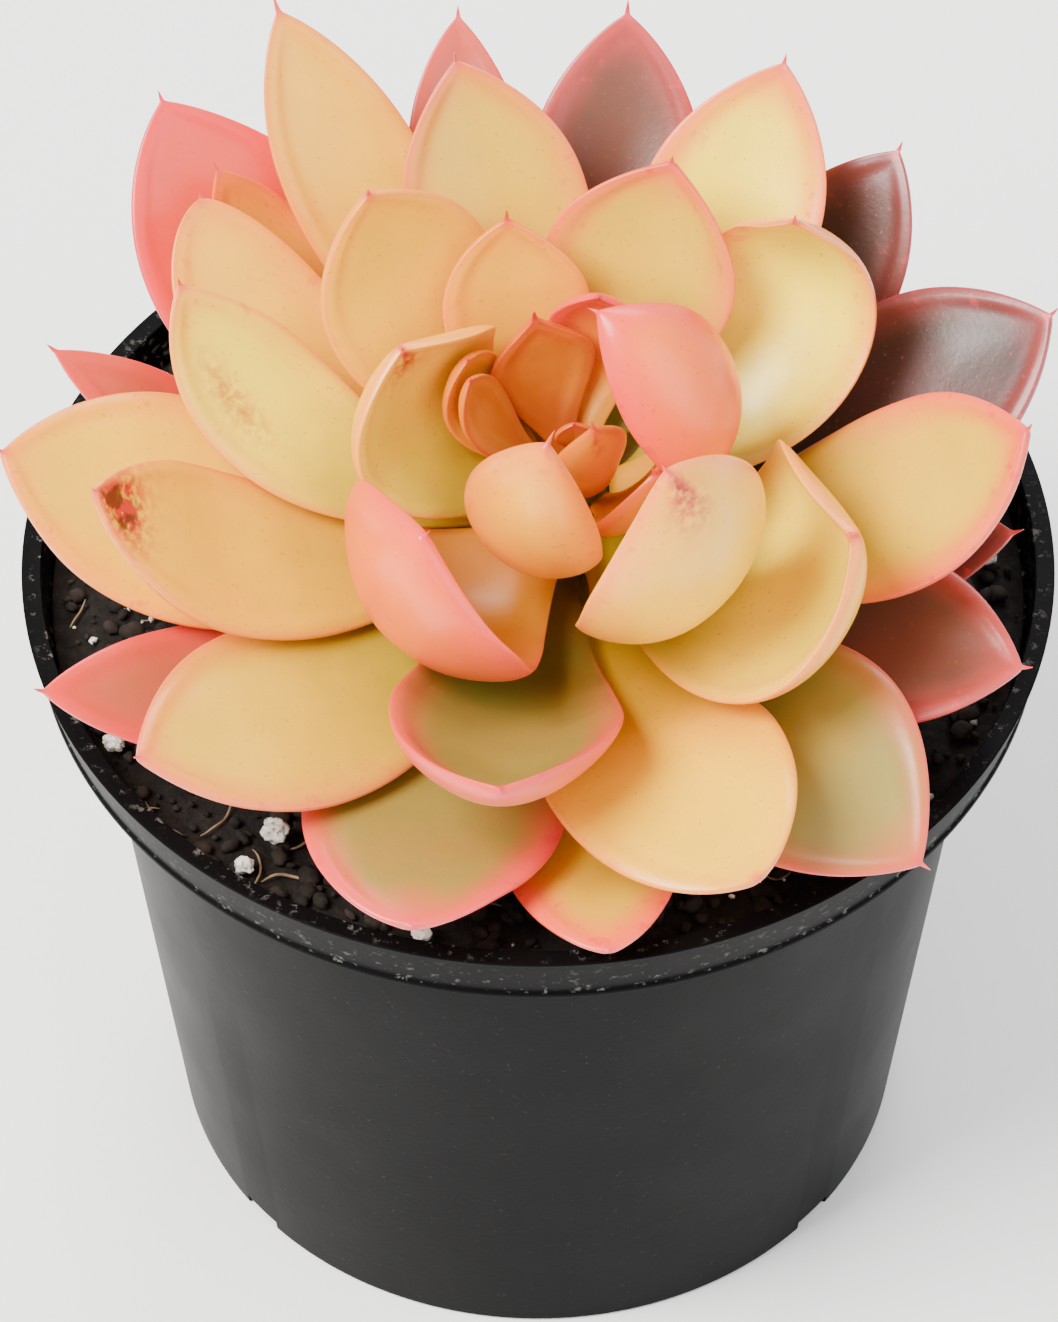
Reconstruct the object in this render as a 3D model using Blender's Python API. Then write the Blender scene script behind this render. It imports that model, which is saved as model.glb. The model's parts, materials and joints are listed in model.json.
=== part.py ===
"""Potted succulent: a leaning rosette of fleshy leaves in a round black nursery pot.

Lengths are in metres, +Z is up and the origin is the centre of the pot's underside. The side that the
rosette leans to is -Y. Every leaf is a thick, cupped blade that grows from the short stem and curves
upwards. The leaves are laid one after another from the heart of the rosette outwards, and each one
is pressed down until it clears the leaves that lie on it.
"""

import math
import random
from collections import namedtuple

import bmesh
import bpy
import numpy as np
from mathutils import Vector

MM = 0.001

# Clearances
GAP = 0.3 * MM  # between pieces that lie against each other
LEAF_GAP = 0.4 * MM  # between two leaves
BASE_GAP = 0.7 * MM  # between the stem and a leaf's base, before the leaf is pressed down the widening stem

# Nursery pot
RIM_RADIUS = 52.5 * MM
RIM_DEPTH = 6.8 * MM  # height of the band around the mouth
RIM_TAPER = 1.5 * MM  # how much the band narrows towards its lower edge
LIP_WIDTH = 2.0 * MM
RIDGE = 0.25 * MM  # the fine ridge along the band's lower edge
BAND_STEP = 4.8 * MM  # how far the wall stands in from the band, under a level shoulder
POT_HEIGHT = 78.6 * MM
BASE_RADIUS = 38.0 * MM
WALL = 1.2 * MM
FLOOR_LIFT = 2.6 * MM  # the floor stands off the ground by this
FOOT_WIDTH = 1.7 * MM  # of the flat ring that the pot stands on
FOOT_BEVEL = 0.7 * MM  # inside that ring
FOOT_ROUND = 0.3 * MM  # outside it
NOTCH_WIDTH = 4.7 * MM
NOTCH_HEIGHT = 1.5 * MM
NOTCH_CUT = 9.6 * MM  # how long each notch's cutter is, across the wall
NOTCH_ANGLES = (40, 140, 220, 320)  # degrees round from +X
HOLE_RADIUS = 1.6 * MM
HOLES = 8
HOLE_CIRCLE = 26.0 * MM
POT_SEGMENTS = 64

# Potting mix
SOIL_DROP = 4.7 * MM  # its mean surface below the rim
SOIL_BUMP = 0.4 * MM  # how far the surface rises and falls
SOIL_SEGMENTS = 40
SOIL_RINGS = 9

# Stem
STEM_TOP = 4.0 * MM  # below the heart
STEM_TOP_RADIUS = 0.7 * MM
STEM_FOOT_RADIUS = 6.1 * MM
STEM_LENGTH = 19.0 * MM  # along which the leaves grow
STEM_ROOTED = 8.0 * MM  # below the surface of the mix
STEM_SEGMENTS = 16

# Rosette
HEART_SIDE = 4.0 * MM  # the growing point is off the pot's axis by this, towards +X
HEART_FRONT = 4.0 * MM  # and by this towards -Y
HEART_RISE = 22.0 * MM  # and above the rim by at least this
LEAN = 16.0  # degrees that the stem leans towards -Y
SWING = 20.0  # degrees that a leaf growing to +X or -X swings back towards +Y; others swing less
FIRST_LEAF = 5.0 * MM  # below the heart
LEAF_STEP = 0.38 * MM  # down the stem from each leaf to the next
LEAF_THICKNESS = 3.4 * MM  # of a leaf as wide as WIDE_LEAF
WIDE_LEAF = 20.0 * MM

# One leaf: the azimuth that it grows to (0 is +X, 90 is +Y), its pitch above the rosette's plane at the
# stem and at the tip, its length and width in millimetres, how far its direction swings to the left
# along its length, how far it rolls about its own length, how deep it is cupped as a share of half its
# width, how full it is towards the tip (0.6 is round, 1.1 is pointed), and how late it curls (1 is an
# even curve).
Leaf = namedtuple(
    "Leaf",
    "name azimuth rise curl length width sweep roll cup point late",
    defaults=(0, 0, 0.2, 0.85, 1.3),
)

# From the heart outwards. Angles are in degrees.
LEAVES = (
    Leaf("heart_leaf_1", 100, 75, 95, 5, 4),
    Leaf("heart_leaf_2", 230, 75, 95, 5, 4),
    Leaf("heart_leaf_3", 290, 78, 95, 18, 8, point=1.1),
    Leaf("heart_leaf_4", 168, 30, 95, 18, 7),
    Leaf("heart_leaf_5", 115, 40, 80, 17, 11, point=1.5),
    Leaf("inner_leaf_1", 254, 18, 130, 40, 15, sweep=-12, cup=0.35, late=1.0),
    Leaf("inner_leaf_2", 80, 30, 110, 22, 10),
    Leaf("inner_leaf_3", 311, 45, 95, 20, 13, cup=0.3),
    Leaf("inner_leaf_4", 158, 40, 85, 19, 9),
    Leaf("inner_leaf_5", 182, 18, 90, 28, 22, sweep=-38, cup=0.3, late=1.0),
    Leaf("inner_leaf_6", 0, 30, 175, 41, 16, sweep=-50, cup=0.4, late=1.2),
    Leaf("inner_leaf_7", 236, 10, 130, 44, 26, sweep=-12, cup=0.4, late=1.6),
    Leaf("inner_leaf_8", 293, 8, 124, 55, 23, sweep=18, cup=0.4, late=0.9),
    Leaf("inner_leaf_9", 118, 29, 68, 27, 15, sweep=-15),
    Leaf("middle_leaf_1", 141, 18, 80, 38, 20, cup=0.1),
    Leaf("middle_leaf_2", 72, 21, 68, 33, 20, sweep=-10, cup=0.35),
    Leaf("middle_leaf_3", 16, 16, 68, 37, 19, sweep=45, cup=0.4, late=0.8),
    Leaf("middle_leaf_4", 308, 7, 94, 41, 29, sweep=55, cup=0.4, late=1.6),
    Leaf("middle_leaf_5", 252, 17, 76, 52, 23, sweep=27, cup=0.4, late=2.3),
    Leaf("middle_leaf_6", 188, 8, 62, 48, 15, sweep=-42),
    Leaf("middle_leaf_7", 107, 15, 55, 43, 19, sweep=8, cup=0.3),
    Leaf("middle_leaf_8", 276, 19, 22, 51, 24, sweep=28, cup=0.04, point=0.6),
    Leaf("middle_leaf_9", 174, 7, 34, 48, 16, sweep=-46, point=0.65),
    Leaf("outer_leaf_1", 206, 7, 60, 55, 18, sweep=-12, cup=0.05, late=1.1),
    Leaf("outer_leaf_2", 230, 7, 38, 56, 22, sweep=-10, cup=0.05),
    Leaf("outer_leaf_3", 58, 11, 49, 46, 19, cup=0.25),
    Leaf("outer_leaf_4", 345, 8, 60, 49, 21, sweep=8, cup=0.1, late=1.1),
    Leaf("outer_leaf_5", 129, 10, 40, 55, 15),
    Leaf("outer_leaf_6", 300, 17, 2, 50, 25, sweep=9, cup=0.15),
    Leaf("outer_leaf_7", 240, 18, 18, 52, 26, sweep=38, cup=0.04, point=0.6),
    Leaf("outer_leaf_8", 148, 12, 42, 46, 13),
    Leaf("outer_leaf_9", 190, 6, 37, 56, 25, cup=0.05),
    Leaf("outer_leaf_10", 12, 8, 40, 48, 22, sweep=-8, cup=0.15),
    Leaf("outer_leaf_11", 83, 12, 40, 47, 18),
    Leaf("outer_leaf_12", 269, 17, 18, 49.6, 18, sweep=10, cup=0.02, point=0.6),
    Leaf("low_leaf_1", 153, 7, 35, 56, 23, sweep=-18, cup=0.15),
    Leaf("low_leaf_2", 220, 6, 28, 56, 15, sweep=-18, cup=0.1),
    Leaf("low_leaf_3", 328, 11, 18, 44, 20, cup=0.15),
    Leaf("low_leaf_4", 40, 11, 39, 45, 17),
    Leaf("low_leaf_5", 113, 9, 32, 49, 13, sweep=-14),
    Leaf("low_leaf_6", 175, 8, 31, 51, 10),
    Leaf("low_leaf_7", 346, 12, 18, 39, 12),
)

# Colours, from the sheltered heart to the weathered outside
LEAF_COLOURS = {
    "heart_leaf": (0.74, 0.27, 0.03),
    "inner_leaf": (0.86, 0.52, 0.24),
    "middle_leaf": (0.82, 0.58, 0.32),
    "outer_leaf": (0.72, 0.48, 0.33),
    "low_leaf": (0.58, 0.33, 0.28),
}
LEAF_ROUGHNESS = 0.38

# How a leaf's shape runs from its base (0) to its tip (1)
NECK = 0.22  # width at the base, as a share of the widest
WIDEST_AT = 0.62
BASE_THICKNESS = 0.38  # as a share of the thickest
EDGE_THICKNESS = 0.22  # of the margin, as a share of the middle
UPPER_SHARE = 0.32  # of the thickness that lies above the blade's middle surface
CROSS_POWER = 2.6  # how square the blade's section is

# Mesh of a leaf
STATIONS = (0.0, 0.1, 0.26, 0.44, 0.62, 0.78, 0.9, 0.97)
CROSS = (-1.0, -0.62, 0.0, 0.62, 1.0)

# Pads: round samples inside each leaf, with which neighbouring leaves are kept apart
PAD_PITCH = 2.0 * MM
PAD_LEAST = 0.25 * MM  # their smallest radius
PRESS_ROUNDS = 12
PRESS_SPREAD = 0.24  # how far along a leaf a bend is eased out, as a share of its length
EASE_POWER = 12  # how closely the eased bend follows the largest push

# Perlite: azimuth, distance from the pot's axis and size in millimetres
PERLITE = (
    ("perlite_1", 232, 42.4, 4.2),
    ("perlite_2", 232, 47.4, 2.6),
    ("perlite_3", 207, 47.8, 3.0),
    ("perlite_4", 256, 47.4, 2.6),
    ("perlite_5", 4, 45.8, 3.2),
    ("perlite_6", 346, 48.0, 2.4),
)
PERLITE_FLATNESS = 0.75  # height as a share of width
PERLITE_ROUGHNESS = 0.22  # how far a grain's corners are worn in, as a share of its radius


def clear_scene():
    for obj in list(bpy.data.objects):
        bpy.data.objects.remove(obj, do_unlink=True)


def make_material(name, colour, roughness, metallic=0.0):
    material = bpy.data.materials.new(name)
    material.use_nodes = True
    shader = material.node_tree.nodes["Principled BSDF"]
    shader.inputs["Base Color"].default_value = (*colour, 1.0)
    shader.inputs["Roughness"].default_value = roughness
    shader.inputs["Metallic"].default_value = metallic
    return material


def add_object(name, vertices, faces, material, smooth=True):
    mesh = bpy.data.meshes.new(name)
    mesh.from_pydata([tuple(v) for v in vertices], [], faces)
    mesh.materials.append(material)
    if smooth:
        mesh.shade_smooth()
        mesh.set_sharp_from_angle(angle=math.radians(40))
    obj = bpy.data.objects.new(name, mesh)
    bpy.context.scene.collection.objects.link(obj)
    return obj


def turned(name, profile, segments, material):
    """A closed ring of (radius, height) points turned about Z; a radius of zero is a pole."""
    vertices = []
    rows = []
    for radius, height in profile:
        if radius == 0:
            rows.append([len(vertices)] * segments)
            vertices.append((0.0, 0.0, height))
            continue
        rows.append(list(range(len(vertices), len(vertices) + segments)))
        for k in range(segments):
            angle = math.tau * k / segments
            vertices.append((radius * math.cos(angle), radius * math.sin(angle), height))
    faces = []
    for low, high in zip(rows, rows[1:] + rows[:1]):
        if low[0] == low[1] and high[0] == high[1]:
            continue
        for k in range(segments):
            after = (k + 1) % segments
            face = [low[k], low[after], high[after], high[k]]
            faces.append(list(dict.fromkeys(face)))
    return add_object(name, vertices, faces, material)


def circle(radius, segments):
    angles = [math.tau * k / segments for k in range(segments)]
    return [(radius * math.cos(angle), radius * math.sin(angle)) for angle in angles]


def cut(target, cutter, name):
    modifier = target.modifiers.new(name, "BOOLEAN")
    modifier.operation = "DIFFERENCE"
    modifier.solver = "EXACT"
    modifier.object = cutter
    cutter.hide_render = True
    cutter.display_type = "WIRE"


def joined_cutter(name, shapes):
    """One hidden object from several closed shapes, each a function that adds itself to a bmesh."""
    mesh = bpy.data.meshes.new(name)
    shape = bmesh.new()
    for add_shape in shapes:
        add_shape(shape)
    shape.to_mesh(mesh)
    shape.free()
    obj = bpy.data.objects.new(name, mesh)
    bpy.context.scene.collection.objects.link(obj)
    return obj


# ---------------------------------------------------------------------------- pot


def wall_radius(height):
    """Outer radius of the tapering wall."""
    top = POT_HEIGHT - RIM_DEPTH
    top_radius = RIM_RADIUS - RIM_TAPER - BAND_STEP
    return BASE_RADIUS + (top_radius - BASE_RADIUS) * height / top


def inner_radius(height):
    return wall_radius(height) - WALL


def band_inner_radius():
    """Inner radius of the band, just above the shoulder."""
    return RIM_RADIUS - RIM_TAPER - WALL


def lip_arc(steps):
    """The rounded top of the lip, from its outer side to its inner side."""
    round_over = LIP_WIDTH / 2
    points = []
    for k in range(steps + 1):
        angle = math.pi * k / steps
        points.append(
            (
                RIM_RADIUS - round_over + round_over * math.cos(angle),
                POT_HEIGHT - round_over + round_over * math.sin(angle),
            )
        )
    return points


def add_notch(angle):
    def add(shape):
        made = bmesh.ops.create_cube(shape, size=1.0)["verts"]
        for vertex in made:
            x = vertex.co.x * NOTCH_CUT + BASE_RADIUS
            y = vertex.co.y * NOTCH_WIDTH
            z = vertex.co.z * 2 * NOTCH_HEIGHT
            vertex.co = Vector(
                (x * math.cos(angle) - y * math.sin(angle), x * math.sin(angle) + y * math.cos(angle), z)
            )

    return add


def add_hole(angle):
    def add(shape):
        made = bmesh.ops.create_cone(
            shape,
            cap_ends=True,
            segments=12,
            radius1=HOLE_RADIUS,
            radius2=HOLE_RADIUS,
            depth=2 * (FLOOR_LIFT + WALL),
        )["verts"]
        for vertex in made:
            vertex.co.x += HOLE_CIRCLE * math.cos(angle)
            vertex.co.y += HOLE_CIRCLE * math.sin(angle)
            vertex.co.z += FLOOR_LIFT

    return add


def make_pot():
    plastic = make_material("pot_plastic", (0.028, 0.028, 0.030), 0.45)
    band_foot = POT_HEIGHT - RIM_DEPTH
    band_radius = RIM_RADIUS - RIM_TAPER
    floor_top = FLOOR_LIFT + WALL
    profile = [
        (0, FLOOR_LIFT),
        (BASE_RADIUS - FOOT_ROUND - FOOT_WIDTH - FOOT_BEVEL, FLOOR_LIFT),
        (BASE_RADIUS - FOOT_ROUND - FOOT_WIDTH, 0),
        (BASE_RADIUS - FOOT_ROUND, 0),
        (wall_radius(FOOT_ROUND), FOOT_ROUND),
        (wall_radius(band_foot), band_foot),
        (band_radius, band_foot),
        (band_radius + RIDGE, band_foot + RIDGE),
        (band_radius + RIDGE, band_foot + 2 * RIDGE),
        (band_radius, band_foot + 3 * RIDGE),
    ]
    profile += lip_arc(4)
    profile += [
        (band_inner_radius(), band_foot + WALL),
        (inner_radius(band_foot + WALL), band_foot + WALL),
        (inner_radius(floor_top), floor_top),
        (0, floor_top),
    ]
    pot = turned("nursery_pot", profile, POT_SEGMENTS, plastic)
    notches = [add_notch(math.radians(angle)) for angle in NOTCH_ANGLES]
    cut(pot, joined_cutter("notch_cutters", notches), "drain_notches")
    holes = [add_hole(math.tau * k / HOLES) for k in range(HOLES)]
    cut(pot, joined_cutter("hole_cutters", holes), "drain_holes")
    return pot


# ---------------------------------------------------------------------------- rosette


class Rosette:
    """Turns the rosette's own frame, with the growing point at zero and the stem along -Z, into the pot's."""

    def __init__(self, lift=0.0):
        lean = math.radians(LEAN)
        self.heart = np.array((HEART_SIDE, -HEART_FRONT, POT_HEIGHT + HEART_RISE + lift))
        self.axes = np.array(
            (
                (1.0, 0.0, 0.0),
                (0.0, math.cos(lean), math.sin(lean)),
                (0.0, -math.sin(lean), math.cos(lean)),
            )
        )

    def place(self, points):
        return points @ self.axes + self.heart


def stem_radius(depth):
    share = min(max((depth - STEM_TOP) / STEM_LENGTH, 0.0), 1.0)
    return STEM_TOP_RADIUS + (STEM_FOOT_RADIUS - STEM_TOP_RADIUS) * share


def leaf_thickness(leaf):
    """Thickest at the middle: narrow leaves are thinner, but less than in proportion."""
    return LEAF_THICKNESS * (leaf.width * MM / WIDE_LEAF) ** 0.75


def half_width(leaf, along):
    """Half the blade's width, from a narrow base over the widest point to the tip."""
    rising = NECK + (1 - NECK) * np.sin(np.clip(along / WIDEST_AT, 0, 1) * math.pi / 2) ** 1.8
    beyond = np.clip((along - WIDEST_AT) / (1 - WIDEST_AT), 0, 1)
    falling = (1 - beyond**2.2) ** leaf.point
    return 0.5 * leaf.width * MM * np.where(along < WIDEST_AT, rising, falling)


def half_thickness(leaf, along):
    swelling = BASE_THICKNESS + (1 - BASE_THICKNESS) * np.sin(along**1.4 * math.pi / 1.25)
    ending = (1 - 0.75 * along**5) ** 0.8
    return 0.5 * leaf_thickness(leaf) * swelling * ending


def leaf_spine(leaf, depth, along):
    """Centres, directions, sides and upper normals of the leaf's sections in the rosette's frame."""
    fine = np.linspace(0, 1, 101)
    pitch = np.radians(leaf.rise + (leaf.curl - leaf.rise) * fine**leaf.late)
    azimuth = math.radians(leaf.azimuth)
    heading = azimuth + np.radians(leaf.sweep + SWING * math.cos(azimuth)) * fine
    flow = np.stack(
        (np.cos(pitch) * np.cos(heading), np.cos(pitch) * np.sin(heading), np.sin(pitch)), axis=1
    )
    steps = 0.5 * (flow[1:] + flow[:-1]) * leaf.length * MM / (len(fine) - 1)
    start_half = float(half_thickness(leaf, np.array(0.0)))
    start = stem_radius(depth + 2 * start_half) + BASE_GAP + start_half * math.sin(math.radians(leaf.rise))
    base = np.array((start * math.cos(azimuth), start * math.sin(azimuth), -depth))
    path = np.vstack((base, base + np.cumsum(steps, axis=0)))
    centres = np.stack([np.interp(along, fine, path[:, k]) for k in range(3)], axis=1)
    pitch = np.interp(along, fine, pitch)
    heading = np.interp(along, fine, heading)
    flow = np.stack(
        (np.cos(pitch) * np.cos(heading), np.cos(pitch) * np.sin(heading), np.sin(pitch)), axis=1
    )
    side = np.stack((-np.sin(heading), np.cos(heading), np.zeros_like(heading)), axis=1)
    upper = np.cross(flow, side)
    roll = np.radians(leaf.roll * along)[:, None]
    rolled_side = side * np.cos(roll) + upper * np.sin(roll)
    rolled_upper = upper * np.cos(roll) - side * np.sin(roll)
    return centres, flow, rolled_side, rolled_upper


def blade(leaf, along, across):
    """Offsets of the middle surface and half the thickness, at a share along and a share across."""
    wide = half_width(leaf, along)
    rim = EDGE_THICKNESS + (1 - EDGE_THICKNESS) * (1 - np.abs(across) ** CROSS_POWER) ** 0.5
    half = half_thickness(leaf, along) * rim
    half = np.minimum(half, 0.25 * half + 0.6 * wide)
    cupped = leaf.cup * wide * across**2 * np.clip(along / 0.4, 0, 1)
    sunk = cupped - (1 - 2 * UPPER_SHARE) * half
    return wide * across, sunk, half


def leaf_pads(leaf, depth):
    ribs = max(5, math.ceil(leaf.length * MM / PAD_PITCH) + 1)
    along = np.linspace(0, 1, ribs)
    count = max(5, 2 * math.ceil(leaf.width * MM / PAD_PITCH / 2) + 1)
    across = np.sin(np.linspace(-1, 1, count) * math.pi / 2)
    centres, _, side, upper = leaf_spine(leaf, depth, along)
    sideways, raised, half = blade(leaf, along[:, None], across[None, :])
    pads = centres[:, None] + sideways[..., None] * side[:, None] + raised[..., None] * upper[:, None]
    return along, pads, np.maximum(half, PAD_LEAST), -upper


def eased(along, push):
    """A smooth bend along the leaf that is nowhere less than the push needed there."""
    reach = np.clip(np.abs(along[:, None] - along[None, :]) / PRESS_SPREAD, 0, 1)
    bell = 0.5 + 0.5 * np.cos(math.pi * reach)
    return np.sum((bell * push[None, :]) ** EASE_POWER, axis=1) ** (1 / EASE_POWER)


def press_leaves():
    """Lays the leaves from the heart outwards, and returns how far each is bent down at each share along."""
    placed, sizes = [], []
    bends = {}
    for order, leaf in enumerate(LEAVES):
        depth = FIRST_LEAF + LEAF_STEP * order
        along, pads, radii, down = leaf_pads(leaf, depth)
        pressed = np.zeros(len(along))
        bend = pressed
        for _ in range(PRESS_ROUNDS):
            if not placed:
                break
            moved = pads + (bend[:, None] * down)[:, None]
            fixed, fixed_radii = nearby(moved, placed, sizes)
            delta = moved[:, :, None] - fixed
            ahead = np.einsum("racd,rd->rac", delta, down)
            clear = radii[:, :, None] + fixed_radii + LEAF_GAP
            short = clear**2 - np.sum(delta**2, axis=-1)
            need = np.where(short > 0, np.sqrt(np.maximum(ahead**2 + short, 0)) - ahead, 0)
            push = need.max(axis=(1, 2)) if need.size else pressed * 0
            if push.max() < 0.01 * MM:
                break
            pressed = pressed + push
            bend = eased(along, pressed)
        bends[leaf.name] = (along, bend)
        placed.append((pads + (bend[:, None] * down)[:, None]).reshape(-1, 3))
        sizes.append(radii.reshape(-1))
    return bends


def nearby(moved, placed, sizes):
    """The pads already placed that lie within reach of this leaf's box."""
    margin = 2 * LEAF_THICKNESS
    low = moved.reshape(-1, 3).min(axis=0) - margin
    high = moved.reshape(-1, 3).max(axis=0) + margin
    points = np.vstack(placed)
    radii = np.concatenate(sizes)
    inside = ((points > low) & (points < high)).all(axis=1)
    return points[inside], radii[inside]


def leaf_mesh(leaf, depth, bend, rosette):
    along = np.array(STATIONS)
    across = np.array(CROSS)
    centres, flow, side, upper = leaf_spine(leaf, depth, along)
    centres = centres - upper * np.interp(along, *bend)[:, None]
    sideways, raised, half = blade(leaf, along[:, None], across[None, :])
    top = centres[:, None] + sideways[..., None] * side[:, None] + (raised + half)[..., None] * upper[:, None]
    under = top - 2 * half[..., None] * upper[:, None]
    tip, _, _, tip_upper = leaf_spine(leaf, depth, np.array([1.0]))
    tip = tip - tip_upper * np.interp([1.0], *bend)[:, None]
    rings = [np.vstack((top[k], under[k, ::-1])) for k in range(len(along))]
    size = len(rings[0])
    vertices = rosette.place(np.vstack(rings + [tip]))
    faces = [tuple(range(size))]
    for ring in range(len(rings) - 1):
        for k in range(size):
            after = (k + 1) % size
            low, high = ring * size, (ring + 1) * size
            faces.append((low + after, low + k, high + k, high + after))
    last = (len(rings) - 1) * size
    for k in range(size):
        faces.append((last + (k + 1) % size, last + k, len(vertices) - 1))
    return vertices, faces


def lift_needed(bends):
    """How far the rosette has to rise so that its lowest leaf clears the rim and the mix."""
    rosette = Rosette()
    lift = 0.0
    mouth = RIM_RADIUS - LIP_WIDTH - GAP
    for order, leaf in enumerate(LEAVES):
        _, pads, radii, down = leaf_pads(leaf, FIRST_LEAF + LEAF_STEP * order)
        moved = pads + (bends[leaf.name][1][:, None] * down)[:, None]
        points = rosette.place(moved.reshape(-1, 3))
        radii = radii.reshape(-1)
        outside = np.hypot(points[:, 0], points[:, 1]) + radii > mouth
        floor = np.where(outside, POT_HEIGHT, POT_HEIGHT - SOIL_DROP + SOIL_BUMP) + GAP
        lift = max(lift, float((floor + radii - points[:, 2]).max()))
    return lift


def make_leaves(bends, rosette):
    skins = {kind: make_material(kind, colour, LEAF_ROUGHNESS) for kind, colour in LEAF_COLOURS.items()}
    for order, leaf in enumerate(LEAVES):
        depth = FIRST_LEAF + LEAF_STEP * order
        vertices, faces = leaf_mesh(leaf, depth, bends[leaf.name], rosette)
        kind = leaf.name.rsplit("_", 1)[0]
        add_object(leaf.name, vertices, faces, skins[kind])


def make_stem(rosette, soil_height):
    bark = make_material("stem_bark", (0.22, 0.20, 0.09), 0.7)
    up = rosette.axes[2][2]
    foot = (rosette.heart[2] - (soil_height - STEM_ROOTED)) / up
    depths = [STEM_TOP, STEM_TOP + STEM_LENGTH, foot]
    vertices, faces = [], []
    for depth in depths:
        for k in range(STEM_SEGMENTS):
            angle = math.tau * k / STEM_SEGMENTS
            radius = stem_radius(depth)
            vertices.append((radius * math.cos(angle), radius * math.sin(angle), -depth))
    faces.append(tuple(range(STEM_SEGMENTS)))
    for ring in range(len(depths) - 1):
        for k in range(STEM_SEGMENTS):
            after = (k + 1) % STEM_SEGMENTS
            high, low = ring * STEM_SEGMENTS, (ring + 1) * STEM_SEGMENTS
            faces.append((high + after, high + k, low + k, low + after))
    last = (len(depths) - 1) * STEM_SEGMENTS
    faces.append(tuple(last + k for k in reversed(range(STEM_SEGMENTS))))
    return add_object("stem", rosette.place(np.array(vertices)), faces, bark)


# ---------------------------------------------------------------------------- potting mix


def soil_bump(x, y):
    """Gentle lumps over the surface of the mix."""
    wave = math.sin(x / (5.1 * MM) + 0.7) * math.cos(y / (6.3 * MM) - 0.4)
    wave += 0.6 * math.sin((x + y) / (3.4 * MM) + 2.1)
    return SOIL_BUMP * wave / 1.6


def make_soil(rosette):
    mix = make_material("potting_mix", (0.020, 0.014, 0.010), 0.95)
    floor = FLOOR_LIFT + WALL + GAP
    surface = POT_HEIGHT - SOIL_DROP
    shelf = POT_HEIGHT - RIM_DEPTH + WALL
    over_shelf = surface - 2 * SOIL_BUMP > shelf + GAP
    edge = (band_inner_radius() if over_shelf else inner_radius(surface)) - GAP
    vertices = [(0.0, 0.0, surface + soil_bump(0, 0))]
    for ring in range(1, SOIL_RINGS + 1):
        for x, y in circle(edge * ring / SOIL_RINGS, SOIL_SEGMENTS):
            vertices.append((x, y, surface + soil_bump(x, y)))
    sides = [(inner_radius(floor) - GAP, floor)]
    if over_shelf:
        sides = [(edge, shelf + GAP), (inner_radius(shelf) - GAP, shelf + GAP)] + sides
    for radius, height in sides:
        vertices += [(x, y, height) for x, y in circle(radius, SOIL_SEGMENTS)]
    faces = []
    rings = SOIL_RINGS + len(sides)
    for k in range(SOIL_SEGMENTS):
        after = (k + 1) % SOIL_SEGMENTS
        faces.append((0, 1 + k, 1 + after))
        for ring in range(rings - 1):
            inner, outer = 1 + ring * SOIL_SEGMENTS, 1 + (ring + 1) * SOIL_SEGMENTS
            faces.append((inner + k, outer + k, outer + after, inner + after))
    foot = 1 + (rings - 1) * SOIL_SEGMENTS
    faces.append(tuple(foot + k for k in reversed(range(SOIL_SEGMENTS))))
    soil = add_object("soil", vertices, faces, mix)
    cut(soil, stem_socket(rosette, surface), "stem_socket")
    return soil


def stem_socket(rosette, surface):
    """The hole that the stem's rooted end fills, one gap wider all round."""
    up = rosette.axes[2][2]
    heart_height = rosette.heart[2]
    top = (heart_height - (surface + 4 * SOIL_BUMP + STEM_FOOT_RADIUS)) / up
    foot = (heart_height - (surface - STEM_ROOTED)) / up + GAP
    radius = STEM_FOOT_RADIUS + GAP
    vertices = []
    for depth in (top, foot):
        for k in range(STEM_SEGMENTS):
            angle = math.tau * k / STEM_SEGMENTS
            vertices.append((radius * math.cos(angle), radius * math.sin(angle), -depth))
    faces = [tuple(range(STEM_SEGMENTS)), tuple(reversed(range(STEM_SEGMENTS, 2 * STEM_SEGMENTS)))]
    for k in range(STEM_SEGMENTS):
        after = (k + 1) % STEM_SEGMENTS
        faces.append((after, k, STEM_SEGMENTS + k, STEM_SEGMENTS + after))
    mesh = bpy.data.meshes.new("stem_socket")
    mesh.from_pydata([tuple(v) for v in rosette.place(np.array(vertices))], [], faces)
    obj = bpy.data.objects.new("stem_socket", mesh)
    bpy.context.scene.collection.objects.link(obj)
    return obj


def make_perlite(soil_height):
    white = make_material("perlite", (0.62, 0.61, 0.58), 0.9)
    for name, azimuth, distance, size in PERLITE:
        chance = random.Random(name)
        angle = math.radians(azimuth)
        x, y = distance * MM * math.cos(angle), distance * MM * math.sin(angle)
        shape = bmesh.new()
        bmesh.ops.create_icosphere(shape, subdivisions=1, radius=0.5 * size * MM)
        for vertex in shape.verts:
            vertex.co *= chance.uniform(1 - PERLITE_ROUGHNESS, 1)
            vertex.co.z *= PERLITE_FLATNESS
        lowest = min(vertex.co.z for vertex in shape.verts)
        for vertex in shape.verts:
            vertex.co += Vector((x, y, soil_height + SOIL_BUMP + GAP - lowest))
        mesh = bpy.data.meshes.new(name)
        shape.to_mesh(mesh)
        shape.free()
        mesh.materials.append(white)
        obj = bpy.data.objects.new(name, mesh)
        bpy.context.scene.collection.objects.link(obj)


def main():
    clear_scene()
    make_pot()
    bends = press_leaves()
    rosette = Rosette(lift_needed(bends))
    make_leaves(bends, rosette)
    soil_height = POT_HEIGHT - SOIL_DROP
    make_stem(rosette, soil_height)
    make_soil(rosette)
    make_perlite(soil_height)


if __name__ == "__main__":
    main()
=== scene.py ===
"""Potted succulent: the looks of a leaning rosette of fleshy leaves in a black nursery pot.

The file is laid out as an add-on. Each operator makes one piece or one group of like pieces around the
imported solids, and the sizes and colours that a user would change are scene properties. Lengths are in
metres, +Z is up, and the origin is the centre of the pot's underside.
"""

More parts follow.
